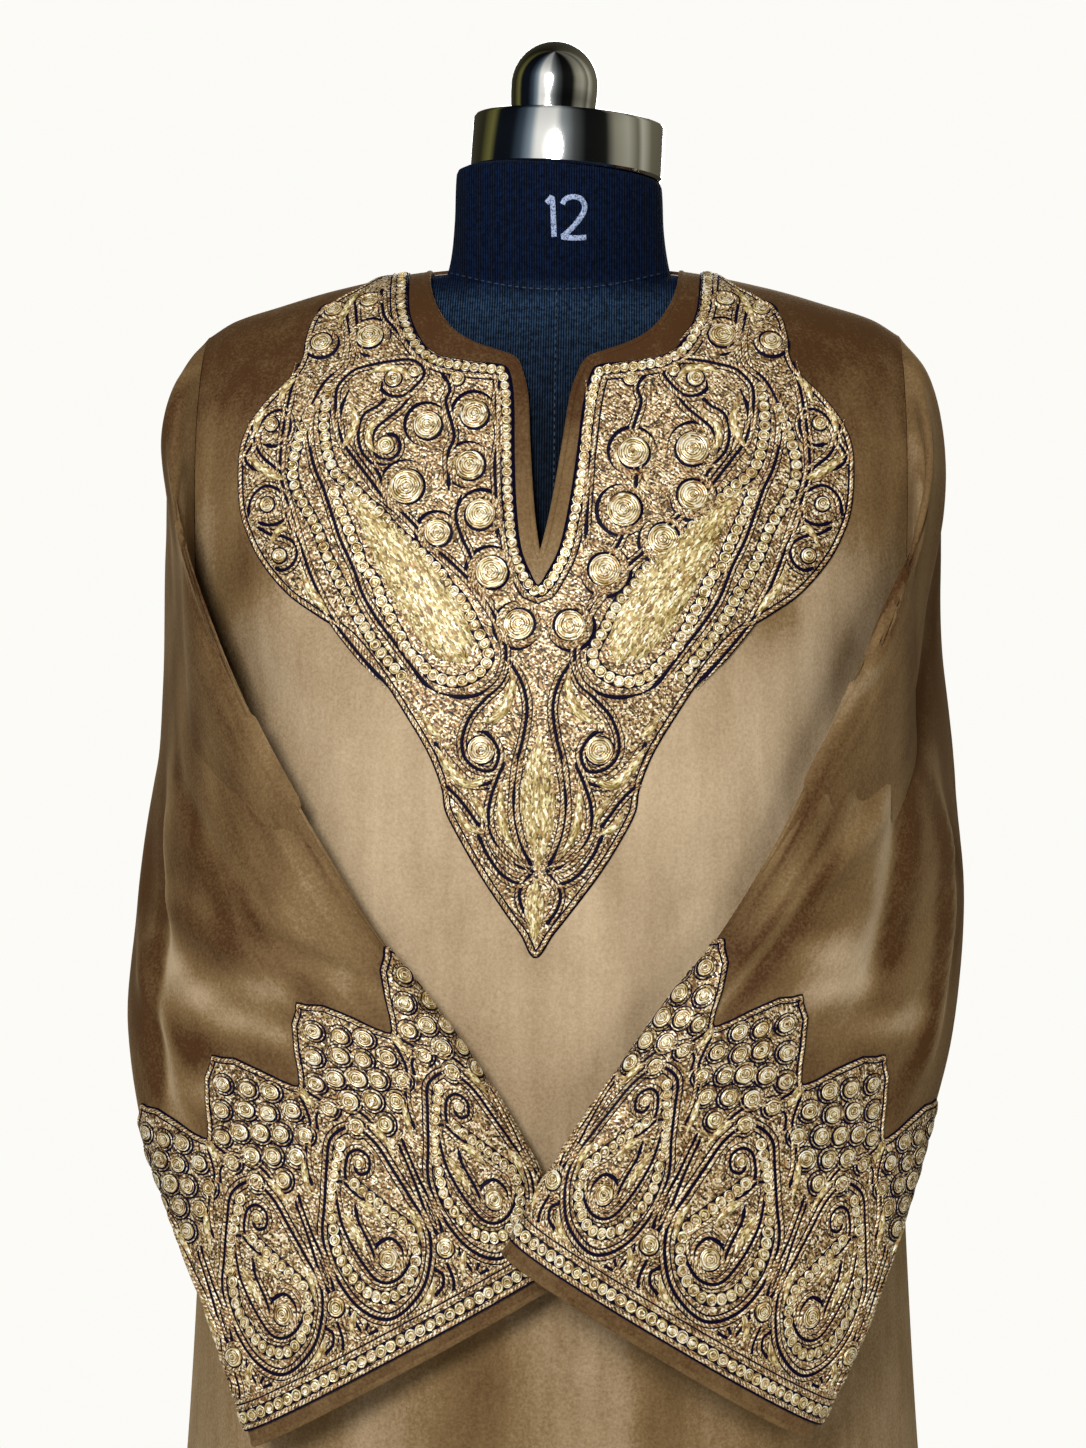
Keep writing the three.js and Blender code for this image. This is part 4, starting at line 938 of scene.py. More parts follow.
# Points at even steps along a polyline
def even_steps(line, step):
    length = length_along(line)
    count = max(int(round(length[-1] / step)), 2)
    goal = np.linspace(0, length[-1], count + 1)
    return np.stack([np.interp(goal, length, line[:, k]) for k in range(line.shape[1])], -1)


# Step between the points of a line of thread
LINE_STEP = 1.7


# Smooth line through points, at even steps; a closed one doesn't repeat its first point
def smooth_line(points, step=LINE_STEP, closed=False):
    points = np.asarray(points, float)
    if closed:
        padded = np.concatenate([points[-1:], points, points[:2]])
    else:
        first = 2 * points[:1] - points[1:2]
        last = 2 * points[-1:] - points[-2:-1]
        padded = np.concatenate([first, points, last])
    share = np.linspace(0, 1, 12, endpoint=False)[:, None]
    runs = []
    for k in range(len(padded) - 3):
        a, b, c, d = padded[k : k + 4]
        runs.append(between(b, c, (c - a) / 2, (d - b) / 2, share))
    line = even_steps(np.concatenate([*runs, padded[-2:-1]]), step)
    return line[:-1] if closed else line


# Direction to the left of a line's run at each of its points
def side_ways(line, closed=False):
    if closed:
        run = np.roll(line, -1, axis=0) - np.roll(line, 1, axis=0)
    else:
        run = np.gradient(line, axis=0)
    run = unit(run)
    return np.stack([-run[:, 1], run[:, 0]], -1)


def offset_line(line, distance, closed=False):
    return line + side_ways(line, closed) * distance


# Sections of a raised line of thread: places across and heights as shares
HALF_ROUND = [(-1, 0), (-0.72, 0.72), (0, 1), (0.72, 0.72), (1, 0)]
FLAT_STRIP = [(-1, 0), (-0.8, 1), (0.8, 1), (1, 0)]
ROLLED = [
    (-0.5, 0), (-0.93, 0.25), (-1, 0.6), (-0.7, 0.9), (0, 1), (0.7, 0.9), (1, 0.6), (0.93, 0.25),
    (0.5, 0),
]


# Raised line of thread along a flat line; tapered is the share of it that each end takes to thicken
def cord(drawing, line, width, height, foot, closed=False, tapered=0.0, section=HALF_ROUND):
    line = np.asarray(line, float)
    shape = np.array(section)
    sides, count = len(shape), len(line)
    side = side_ways(line, closed)
    size = np.ones(count)
    if tapered:
        ends = np.linspace(0, 1, count)
        size = np.clip(np.minimum(ends, 1 - ends) / tapered, 0.2, 1)
    reach = shape[None, :, 0] * size[:, None] * width / 2
    points = np.empty((count, sides, 3))
    points[..., :2] = line[:, None] + side[:, None] * reach[..., None]
    points[..., 2] = foot + shape[None, :, 1] * height * size[:, None]
    rows = count + 1 if closed else count
    faces = [[k % (count * sides) for k in face] for face in grid_faces(rows, sides, True, True)]
    if not closed:
        faces += [list(range(sides)), list(range(count * sides - 1, (count - 1) * sides - 1, -1))]
    thread = np.empty((count, sides, 2))
    thread[..., 0] = length_along(line)[:, None] * MM
    thread[..., 1] = reach * MM
    draw(drawing, points.reshape(-1, 3), faces, thread.reshape(-1, 2))


# Coiled disc of thread: rings from its rim to its middle, radius and height as shares
SMALL_DISC = [(1, 0), (0.96, 0.75), (0.76, 0.95), (0.66, 0.78), (0.44, 1), (0.3, 0.86)]
FLAT_DISC = [(1, 0), (0.95, 1)]
CLUSTER_DISC = [(1, 0), (0.97, 0.7), (0.82, 0.9), (0.72, 0.78), (0.55, 1), (0.42, 0.88), (0.2, 1)]
LARGE_DISC = [
    (1, 0), (0.97, 0.55), (0.9, 0.75), (0.84, 0.62), (0.76, 0.86), (0.69, 0.73), (0.6, 0.95),
    (0.52, 0.8), (0.43, 1), (0.34, 0.86), (0.25, 1.03), (0.12, 0.9),
]


def disc(drawing, x, z, radius, height, foot, profile=LARGE_DISC, sides=24, lean=(0, 0)):
    angle = np.linspace(0, 2 * math.pi, sides, endpoint=False)
    rings = np.array(profile)
    points = np.empty((len(rings), sides, 3))
    points[..., 0] = x + rings[:, :1] * radius * np.cos(angle)
    points[..., 1] = z + rings[:, :1] * radius * np.sin(angle)
    points[..., 2] = foot + rings[:, 1:] * height
    tilt = (points[..., 0] - x) * lean[0] + (points[..., 1] - z) * lean[1]
    points[..., 2] += tilt * np.clip(rings[:, 1:] * 4, 0, 1)
    thread = np.empty((len(rings), sides, 2))
    thread[..., 0] = angle * radius * MM * 0.3 + (x * 3.7 + z * 5.3) * MM
    thread[..., 1] = rings[:, :1] * radius * MM
    faces = grid_faces(len(rings), sides, True)
    last = (len(rings) - 1) * sides
    faces += [list(range(last, last + sides)), list(range(sides - 1, -1, -1))]
    draw(drawing, points.reshape(-1, 3), faces, thread.reshape(-1, 2))


# Padded satin leaf along a line with half widths, domed across
def leaf(drawing, middle, widths, height, foot, columns=8):
    both = smooth_line(np.column_stack([np.asarray(middle, float), widths]), 1.6)
    line, half = both[:, :2], np.maximum(both[:, 2], 0.25)
    side = side_ways(line)
    across = np.linspace(-1, 1, columns + 1)
    count, wide = len(line), columns + 1
    reach = across[None, :] * half[:, None]
    points = np.empty((count, wide, 3))
    points[..., :2] = line[:, None] + side[:, None] * reach[..., None]
    swell = np.clip(half / half.max() * 1.7, 0, 1)
    points[..., 2] = foot + height * np.sqrt(1 - 0.96 * across**2)[None, :] * swell[:, None]
    under = points.copy()
    under[..., 2] = foot - 0.1
    size = count * wide
    faces = grid_faces(count, wide, False, True)
    faces += [[k + size for k in face] for face in grid_faces(count, wide)]
    rim = list(range(wide))
    rim += [i * wide + columns for i in range(1, count)]
    rim += [(count - 1) * wide + j for j in range(columns - 1, -1, -1)]
    rim += [i * wide for i in range(count - 2, 0, -1)]
    for k, here in enumerate(rim):
        following = rim[(k + 1) % len(rim)]
        faces.append([here, following, following + size, here + size])
    thread = np.empty((count, wide, 2))
    thread[..., 0] = length_along(line)[:, None] * MM
    thread[..., 1] = reach * MM
    thread = np.tile(thread.reshape(-1, 2), (2, 1))
    draw(drawing, np.concatenate([points, under]).reshape(-1, 3), faces, thread)


# Lays a drawing on the cloth as one piece
def stitched(name, drawing, lay, slot, material, *nodes):
    flat = np.concatenate(drawing["points"])
    faces = [face for part in drawing["faces"] for face in part]
    piece = new_object(name, lay(flat), faces)
    loops = np.empty(len(piece.data.loops), int)
    piece.data.loops.foreach_get("vertex_index", loops)
    thread = np.concatenate(drawing["thread"])[loops]
    layer = piece.data.uv_layers.new(name="thread")
    layer.data.foreach_set("uv", thread.ravel())
    smooth(piece, 60)
    return finished(piece, slot, material, *nodes)


def circle(x, z, radius, count=20):
    angle = np.linspace(0, 2 * math.pi, count, endpoint=False)
    return np.stack([x + radius * np.cos(angle), z + radius * np.sin(angle)], -1)


# Heights of the layers of the embroidery above the cloth, and widths of its lines
GROUND_TOP, GROUND_FOOT = 1.5, 0.3
CORD_WIDTH, CORD_HEIGHT = 1.9, 1.1
THIN_WIDTH, THIN_HEIGHT = 1.4, 0.8
NAVY_WIDTH, NAVY_HEIGHT = 2.0, 0.3
DISC_HEIGHT, SMALL_HEIGHT = 1.2, 0.65
BULB_HEIGHT, CENTRE_HEIGHT, LEAF_HEIGHT = 2.4, 1.6, 1.3
CHAIN_RADIUS = 3.2
# Slope of a disc that leans on the one before it
DISC_LEAN = 0.16


# The drawings of a piece of embroidery, one for each kind of thread and layer
def new_work():
    return {key: new_drawing() for key in ("rings", "navy", "cords", "discs", "satin")}


# A large coiled disc in a ring of cord, with a navy crescent on the side that the angle gives
def ringed_disc(work, x, z, radius, angle=2.2, reach=1.4):
    ring = radius * reach
    away_x, away_z = math.cos(angle), math.sin(angle)
    foot = GROUND_TOP - 0.2
    disc(work["navy"], x + away_x * 1.4, z + away_z * 1.4, ring + 2.2, 0.45, foot, FLAT_DISC, 28)
    disc(work["rings"], x, z, ring + 0.9, 0.6, foot, FLAT_DISC, 24)
    disc(work["navy"], x - away_x * 0.8, z - away_z * 0.8, radius + 1.1, 0.8, foot, FLAT_DISC, 24)
    cord(work["cords"], circle(x, z, ring), 2.1, 1.1, GROUND_TOP + 0.1, closed=True)
    disc(work["discs"], x, z, radius, DISC_HEIGHT, GROUND_TOP + 0.4)


# Small coiled discs side by side on a navy line
def chain(work, line, radius=CHAIN_RADIUS):
    fine = smooth_line(line)
    cord(work["navy"], fine, 2 * radius + 0.9, NAVY_HEIGHT, GROUND_TOP - 0.05, section=FLAT_STRIP)
    places = smooth_line(line, radius * 1.7)
    ways = side_ways(places) * DISC_LEAN
    for (x, z), (over, along) in zip(places, ways):
        lean = (along, -over)
        disc(work["discs"], x, z, radius, SMALL_HEIGHT, GROUND_TOP + 0.1, SMALL_DISC, 14, lean)


# One cord with a navy line beside it and a thinner cord beyond that
def lined(work, line, side=1, tapered=0.1, closed=False):
    fine = smooth_line(line, closed=closed)
    under = offset_line(fine, 1.6 * side, closed)
    cord(work["navy"], under, 6.0, 0.15, GROUND_TOP, closed, tapered, FLAT_STRIP)
    cord(work["cords"], fine, CORD_WIDTH, CORD_HEIGHT, GROUND_TOP, closed, tapered)
    beside = offset_line(fine, 1.7 * side, closed)
    cord(work["navy"], beside, NAVY_WIDTH, NAVY_HEIGHT, GROUND_TOP, closed, tapered, FLAT_STRIP)
    beyond = offset_line(fine, 3.3 * side, closed)
    cord(work["cords"], beyond, THIN_WIDTH, THIN_HEIGHT, GROUND_TOP, closed, tapered)


# Closed line of two cords with a navy line between them
def doubled(work, line):
    fine = smooth_line(line, closed=True)
    cord(work["navy"], fine, 7.0, NAVY_HEIGHT, GROUND_TOP, True, section=FLAT_STRIP)
    for side in (-1.8, 1.8):
        beside = offset_line(fine, side, True)
        cord(work["cords"], beside, CORD_WIDTH, CORD_HEIGHT, GROUND_TOP, True)


# Thin leaf of satin, widest in its middle; the shape is a sine from near 0 to near pi
def thin_leaf(work, line, half, start):
    widths = half * np.sin(np.linspace(start, math.pi - start, len(line)))
    leaf(work["satin"], line, widths, LEAF_HEIGHT, GROUND_TOP)


# Lowest height of the yoke's opening
SLIT_END_Z = 1219


# Half width of an outline at heights
def half_at(table, z):
    return np.interp(z, values_of(table, 0)[::-1], values_of(table, 1)[::-1])


# Middle of the yoke, which leans at its tip
def yoke_middle(z):
    return YOKE_MIDDLE_X + YOKE_TIP_LEAN * np.clip((1080 - z) / 58, 0, 1)


def yoke_edge(z, side):
    return yoke_middle(z) + side * half_at(YOKE_OUTLINE, z)


# Edge of the yoke's opening, and below the slit the line where its halves meet
def yoke_opening(z, side):
    toward = np.clip((z - 1150) / (SLIT_END_Z - 1150), 0, 1)
    middle = yoke_middle(z) + (neck_middle(z) - yoke_middle(z)) * toward
    return np.where(z > SLIT_END_Z, neck_middle(z) + side * half_at(YOKE_INNER, z), middle)


YOKE_COLUMNS = 56


# The yoke's ground: two halves of rows from the edge to the opening or the middle
def yoke_ground():
    drawing = new_drawing()
    heights = np.concatenate([np.arange(1022.5, 1330, 2.0), np.arange(1330, 1396.5, 1.25)])
    for side in (-1, 1):
        edge, inner = yoke_edge(heights, side), yoke_opening(heights, side)
        share = np.linspace(0, 1, YOKE_COLUMNS)
        across = edge[:, None] + (inner - edge)[:, None] * share
        flat = unrolled(np.column_stack([across.ravel(), np.repeat(heights, YOKE_COLUMNS)]))
        from_edge = np.abs(across - edge[:, None]).ravel()
        from_opening = np.abs(across - inner[:, None]).ravel()
        from_opening[np.repeat(heights, YOKE_COLUMNS) <= SLIT_END_Z] = 9
        near = np.clip(np.minimum(from_edge, from_opening) / 1.5, 0, 1)
        rise = GROUND_FOOT + (GROUND_TOP - GROUND_FOOT) * np.sqrt(near)
        faces = grid_faces(len(heights), YOKE_COLUMNS, False, side > 0)
        draw(drawing, np.column_stack([flat, rise]), faces, flat * MM)
    return drawing


# Both sides of an outline, from its left end down to its lowest point and up to its right end
def both_sides(table, top, bottom, side_x):
    down = np.array([row[0] for row in table if bottom < row[0] <= top], float)
    left = np.column_stack([side_x(down, -1), down])
    right = np.column_stack([side_x(down, 1), down])[::-1]
    return left, right


# Lines of the yoke's edge and of its opening, from the left shoulder round to the right one
def yoke_lines():
    left, right = both_sides(YOKE_OUTLINE, 1397, 0, yoke_edge)
    edge = unrolled(np.concatenate([left, right[1:]]))
    left, right = both_sides(YOKE_INNER, 1388, SLIT_END_Z, yoke_opening)
    slit_end = [(neck_middle(SLIT_END_Z), SLIT_END_Z)]
    opening = unrolled(np.concatenate([[(-82, 1396)], left, slit_end, right, [(86, 1396)]]))
    return smooth_line(edge), smooth_line(opening)


# Large discs of each side: x, z, radius, direction of the navy crescent
LARGE_DISCS = {
    -1: [
        (-65, 1305.5, 7.6, 2.4), (-39.5, 1311.5, 7.6, 2.2), (-41.5, 1283.5, 8, 2.8),
        (-75.5, 1272, 9.3, 3.0), (-35, 1257, 8, 1.2), (-58, 1247, 7, 2.6), (-28.5, 1226, 8.6, 2.6),
        (-13.7, 1198.4, 8, 3.6), (-99.5, 1356, 7.6, 1.6), (-101.5, 1377, 5, 1.6),
        (-127, 1353, 6, 5.0), (-122, 1372, 5, 2.0),
    ],
    1: [
        (47, 1290.5, 8.4, 2.2), (79, 1292.5, 9, 1.0), (42, 1259.5, 9, 3.4), (79, 1267, 8.2, 5.2),
        (63, 1243.5, 8.2, 4.2), (32, 1227, 8.6, 5.4), (13.6, 1197.8, 8, 5.6), (96, 1356, 7.6, 1.4),
        (98, 1377, 5, 1.4), (123, 1353, 6, 5.0), (118, 1372, 5, 1.0),
    ],
}
# Small discs of the left side, as are the tables below; the right side mirrors them
SMALL_DISCS = [
    (-49.5, 1331.3, 4), (-84.9, 1331.6, 4.6), (-73.2, 1335.7, 3.4), (-87.7, 1294.7, 4.8),
    (-152.9, 1307.3, 4), (-153.6, 1262.9, 4), (-145.6, 1234.8, 4), (-33.4, 1132.2, 7.4),
]
# Padded satin bulb along its middle: x, z, half width
BULB = [
    (-108.6, 1270.8, 1), (-99.8, 1260, 4), (-91.2, 1249, 7.5), (-82, 1236.9, 11),
    (-71.3, 1222.2, 13.6), (-61.5, 1207.5, 14.4), (-52.5, 1194.3, 13), (-46, 1184.5, 9),
    (-42.3, 1178.2, 1),
]
YOKE_CHAINS = [
    [
        (-120.7, 1326.5), (-122.2, 1315.2), (-122.6, 1306.8), (-121.6, 1298.5), (-119, 1287.4),
        (-114.5, 1279.1), (-107.3, 1273.5), (-95.7, 1262.6), (-90.1, 1258.5), (-83, 1250.4),
        (-77.3, 1245), (-70.3, 1239.6), (-63.4, 1232.9), (-56.5, 1226.2), (-51.2, 1218.2),
        (-45.8, 1212.9), (-40.6, 1205), (-36.5, 1197), (-32.3, 1189.4), (-29.5, 1181.5),
        (-32.9, 1174.9), (-38.2, 1170.9), (-46.2, 1168.2), (-54.3, 1169.5), (-61.1, 1173),
        (-66.6, 1178.6), (-73.5, 1184.9), (-76.6, 1191.5), (-80.8, 1198.1), (-83.7, 1204.8),
        (-88, 1211.4), (-89.9, 1218.1), (-94, 1224.8), (-99.1, 1230.1), (-101, 1236.9),
        (-104.2, 1243.6), (-107.2, 1250.4), (-109.8, 1255.8), (-113, 1262.7), (-115.5, 1268.5),
    ],
    [
        (-130.1, 1315.3), (-137.2, 1295.9), (-139.6, 1282.1), (-137.1, 1271), (-131.7, 1261.4),
        (-126.5, 1253.2), (-121.9, 1243.6), (-118.8, 1235.5), (-113.7, 1226), (-110, 1219.3),
        (-105.7, 1212.6), (-102.7, 1206), (-98.4, 1199.3), (-94.2, 1192.7), (-88.6, 1184.7),
        (-82.9, 1178.1), (-76.1, 1170.9),
    ],
]
# Cords with a navy line on the left (1) or the right (-1) of their run
YOKE_CORDS = [
    (1, [
        (-110.7, 1326.3), (-115.1, 1315.1), (-115.4, 1304), (-113, 1295.6), (-104.8, 1284.5),
        (-96.1, 1273.5), (-90.3, 1266.3), (-81.8, 1259.5), (-72.3, 1250.5), (-61.1, 1238.4),
        (-50, 1228.6), (-40.4, 1219.2), (-33.6, 1210), (-28.1, 1202), (-24.7, 1194.1),
        (-21.9, 1182.5), (-25.2, 1171), (-34.1, 1163.8), (-44.9, 1161.8), (-55.6, 1163.7),
    ]),
    (-1, [
        (-120.8, 1327.9), (-127.4, 1318.1), (-129.7, 1306.9), (-128.6, 1295.8), (-125.3, 1283.3),
        (-119.5, 1270.9), (-113.9, 1255.8), (-109.3, 1243.6), (-101.9, 1228.8), (-96, 1214.1),
        (-87.5, 1200.7), (-79.1, 1190.2), (-70.3, 1178.6), (-62.1, 1168.1), (-55.6, 1163.7),
    ]),
    (-1, [
        (-137.8, 1341.2), (-141, 1324), (-143.5, 1307.1), (-145, 1290.4), (-144.5, 1279.3),
        (-139.9, 1264.2), (-135.6, 1251.8), (-129.4, 1234.1), (-121.9, 1216.9), (-114, 1203),
        (-107, 1193.7), (-95.5, 1180.5), (-82.5, 1166.5),
    ]),
    (1, [
        (-116.5, 1366), (-112.7, 1355.2), (-114.5, 1340.6), (-123.9, 1332.2), (-131.7, 1318.2),
        (-134, 1304.2), (-132.7, 1290.3),
    ]),
    (-1, [(-112.9, 1371.8), (-108.1, 1352.1), (-110, 1337.7), (-118.1, 1330.7)]),
    (1, [
        (-92.5, 1330.3), (-92.3, 1324.6), (-86.5, 1320.4), (-78.2, 1320.3), (-71.4, 1325.8),
        (-66.1, 1332.8), (-67.8, 1339.2), (-75, 1343.6), (-86.2, 1343), (-97.4, 1341),
        (-107.1, 1338.3), (-113.3, 1333.4), (-117.9, 1326.4), (-118, 1315.1), (-116, 1302.6),
        (-112.2, 1294.2),
    ]),
    (-1, [
        (-71.4, 1324.4), (-78, 1314.7), (-86.1, 1307.8), (-92.1, 1302.3), (-93.3, 1295.4),
        (-91, 1289.9), (-85.4, 1288.5), (-81.5, 1292.6), (-83, 1298.1), (-87.9, 1299.5),
    ]),
    (-1, [
        (-86.5, 1320.4), (-91.9, 1314.8), (-98.8, 1310.7), (-101.3, 1302.4), (-99.5, 1292.7),
        (-93.7, 1286.5), (-85.4, 1286.4),
    ]),
    (1, [
        (-158, 1282.3), (-165.6, 1288), (-161.4, 1296.3), (-158.7, 1304.6), (-153.2, 1311.5),
        (-146.6, 1312.8), (-143.4, 1307.1), (-144.7, 1300.9), (-149.6, 1296.8), (-157, 1297.6),
    ]),
    (-1, [(-163.5, 1310.3), (-158.3, 1293.4), (-149.2, 1284.9), (-141.7, 1279.3)]),
    (1, [
        (-163.2, 1256.1), (-161.2, 1265.7), (-154.6, 1271.2), (-146.5, 1268.3), (-143.4, 1262.8),
        (-144.6, 1256), (-151.1, 1253.2), (-158.6, 1254.7),
    ]),
    (-1, [(-142.7, 1264.2), (-138.7, 1253.2), (-133.4, 1243.6), (-127.3, 1230.1)]),
    (1, [
        (-159.9, 1249.2), (-152.4, 1245), (-144.2, 1243.6), (-137.6, 1239.5), (-138.2, 1232.7),
        (-143.2, 1228.6), (-147.7, 1230),
    ]),
    (-1, [
        (-21.5, 1186), (-11.1, 1170.7), (-7.1, 1155.5), (-9.1, 1138.6), (-13.2, 1121.7),
        (-14, 1103), (-11.3, 1085.7), (-4.7, 1069.7),
    ]),
    (-1, [
        (-19.4, 1125.6), (-27.3, 1102.9), (-26, 1087), (-16.7, 1076.4), (-7.3, 1067),
    ]),
    (1, [(-14, 1129.6), (-18, 1103), (-15.3, 1084.3), (-7.3, 1068.4)]),
    (1, [
        (-19.6, 1182.5), (-23.5, 1169.3), (-31.4, 1161.4), (-40.8, 1150.7), (-45.4, 1137.4),
        (-43.4, 1126.7), (-35.4, 1120.1), (-26, 1120.2), (-22, 1129.6), (-24.7, 1137.5),
        (-30.1, 1142.8), (-35.4, 1143.5),
    ]),
    (-1, [(-56.9, 1137.2), (-50.1, 1126.7), (-38.1, 1115.5), (-25.7, 1117.2)]),
    (-1, [(-53.2, 1116.2), (-43.4, 1106.7), (-32.7, 1092.2)]),
    (1, [(-32.7, 1092.2), (-26, 1078.9), (-16.7, 1069.7), (-6, 1066.4)]),
    (-1, [
        (-4, 1067), (-12.7, 1059.6), (-23.3, 1064.3), (-31.7, 1075.6), (-36.7, 1086.8),
    ]),
    (1, [(-4, 1040), (-10, 1049), (-11, 1057), (-5, 1066)]),
    (1, [(-112, 1378), (-110, 1368), (-106, 1347), (-99, 1343)]),
    (-1, [(-94, 1385), (-91, 1370), (-86, 1363), (-76, 1352)]),
    (1, [(-60, 1334), (-55, 1326), (-57, 1318), (-52, 1300), (-55, 1290), (-54, 1270)]),
    (1, [(-102, 1290), (-93, 1279), (-90, 1272), (-84, 1262)]),
    (-1, [(-25, 1330), (-26, 1316), (-24, 1300), (-26, 1285), (-25, 1268), (-24, 1244)]),
    (1, [(-47, 1268), (-50, 1256), (-46, 1243), (-42, 1235), (-34, 1214), (-27, 1203)]),
]
# Small satin leaves: half width in the middle, line along the leaf
YOKE_LEAVES = [
    (2.6, [(-113, 1292), (-107.5, 1300), (-105, 1309), (-108, 1318)]),
    (2.6, [(-168, 1290.8), (-159.5, 1284.3), (-150.9, 1279), (-144, 1276.2)]),
    (2.6, [(-133, 1227.3), (-128.5, 1217.9), (-122.2, 1209.8), (-115.9, 1202.8)]),
    (2.8, [(-18.2, 1177.3), (-16.6, 1166.7), (-20.4, 1155.1), (-27.1, 1148.6), (-34, 1147)]),
    (3.2, [(-57.5, 1133.8), (-51.5, 1124.3), (-40.5, 1114), (-27, 1118)]),
    (2.4, [(-46.5, 1099.6), (-41.1, 1091.8), (-33.7, 1087.8)]),
    (2.4, [(-22.5, 1118), (-23, 1103), (-20.5, 1088), (-12, 1074)]),
    (2.2, [(-74, 1330), (-80, 1336), (-90, 1337.5), (-99, 1335)]),
    (2.2, [(-88, 1312), (-96, 1305), (-97, 1296), (-92, 1290)]),
    (2.4, [(-149, 1319), (-146, 1327), (-140, 1333)]),
    (2.4, [(-118, 1362), (-115, 1372), (-108, 1385)]),
    (2.2, [(-162, 1300), (-161, 1309), (-156, 1316)]),
    (2.2, [(-152, 1240), (-146, 1249), (-141, 1250)]),
    (2.4, [(-66, 1152), (-60, 1143), (-55, 1139)]),
    (2.2, [(-40, 1108), (-34, 1101), (-30, 1092)]),
]
# Leaves on the yoke's middle line, as the bulb
CENTRE_LEAVES = [
    [
        (-2.1, 1141.6, 0.6), (-2.6, 1131.6, 4), (-3.1, 1118.4, 7.6), (-3.1, 1103.1, 9.2),
        (-2.6, 1089.7, 7.4), (-2.5, 1078.4, 3.6), (-3.3, 1068.7, 0.6),
    ],
    [(-4.2, 1063.4, 0.6), (-4.8, 1055, 4.2), (-5, 1046.4, 5.4), (-5, 1037, 3), (-5, 1029, 0.5)],
]


# Flat points of the left side's drawing, or of its mirror image on the right
def mirrored(points, side):
    points = unrolled(points)
    return points * (-side, 1) + ((1 + side) * YOKE_MIDDLE_X, 0)


yoke = new_work()
edge_line, opening_line = yoke_lines()
cord(yoke["cords"], offset_line(edge_line, 1.0), 2.2, 1.3, 0.8)
cord(yoke["navy"], offset_line(edge_line, -0.5), 1.2, 1.0, 0.05)
cord(yoke["navy"], offset_line(edge_line, 2.7), 0.9, 0.3, GROUND_TOP, section=FLAT_STRIP)
cord(yoke["navy"], offset_line(opening_line, 0.2), 1.2, 1.0, 0.2)
chain(yoke, offset_line(opening_line, -3.6)[::3], 2.8)
cord(yoke["cords"], offset_line(opening_line, -8.2), CORD_WIDTH, CORD_HEIGHT, GROUND_TOP)
cord(yoke["navy"], offset_line(opening_line, -9.6), 0.9, 0.3, GROUND_TOP, section=FLAT_STRIP)
for discs in LARGE_DISCS.values():
    for x, z, radius, angle in discs:
        flat = unrolled([(x, z)])[0]
        ringed_disc(yoke, *flat, radius, angle)
for side in (-1, 1):
    for x, z, radius in SMALL_DISCS:
        flat = mirrored([(x, z)], side)[0]
        disc(yoke["navy"], *flat, radius + 0.9, 0.3, GROUND_TOP, FLAT_DISC, 16)
        disc(yoke["discs"], *flat, radius, DISC_HEIGHT, GROUND_TOP, sides=16)
    for line in YOKE_CHAINS:
        chain(yoke, mirrored(line, side))
    for turn, line in YOKE_CORDS:
        lined(yoke, mirrored(line, side), -turn * side)
    bulb_line = mirrored([row[:2] for row in BULB], side)
    leaf(yoke["satin"], bulb_line, values_of(BULB, 2), BULB_HEIGHT, GROUND_TOP - 0.1, 16)
    for half, line in YOKE_LEAVES:
        thin_leaf(yoke, mirrored(line, side), half, 0.08)
for table in CENTRE_LEAVES:
    line = unrolled([row[:2] for row in table])
    leaf(yoke["satin"], line, values_of(table, 2), CENTRE_HEIGHT, GROUND_TOP, 12)

stitched("yoke_ground", yoke_ground(), on_body, "metal_thread", gold_ground, "yoke_embroidery")
WORK = (
    ("rings", gold_ground), ("navy", navy), ("cords", gold_cord), ("discs", gold_coil),
    ("satin", gold_satin),
)
for key, material in WORK:
    stitched("yoke_" + key, yoke[key], on_body, "metal_thread", material)

# One repeat of the cuff's drawing: distance round, distance above the embroidery's lower edge
PAISLEY = [
    (67.7, 74.1), (58.9, 89), (48.6, 105.2), (38.2, 117.5), (22.9, 117.7), (15.4, 105.1),
    (12.5, 86.6), (9.6, 68.2), (7.6, 53.9), (12.5, 39.1), (26, 24.3), (47.5, 19), (62.6, 31.7),
    (69.4, 53.9),
]
PAISLEY_CHAIN = [
    (34.9, 112.2), (46.1, 100.3), (56.2, 85.9), (60, 74.3), (62.7, 62.2), (60.4, 48.8),
    (54.6, 36.6), (42.8, 29.2), (29.7, 32.7), (20.4, 42.7), (17.7, 54.8), (22.6, 64.7),
    (27.9, 73.8), (33.2, 82.9), (37.3, 90.5),
]
PAISLEY_INNER = [
    (46, 94.5), (51, 81.6), (52.2, 70.7), (50.1, 54.5), (45.1, 40.8), (34.9, 38), (24.3, 44.5),
    (20.7, 54.3), (26.8, 63.8), (33, 75.2), (40.2, 84.2),
]
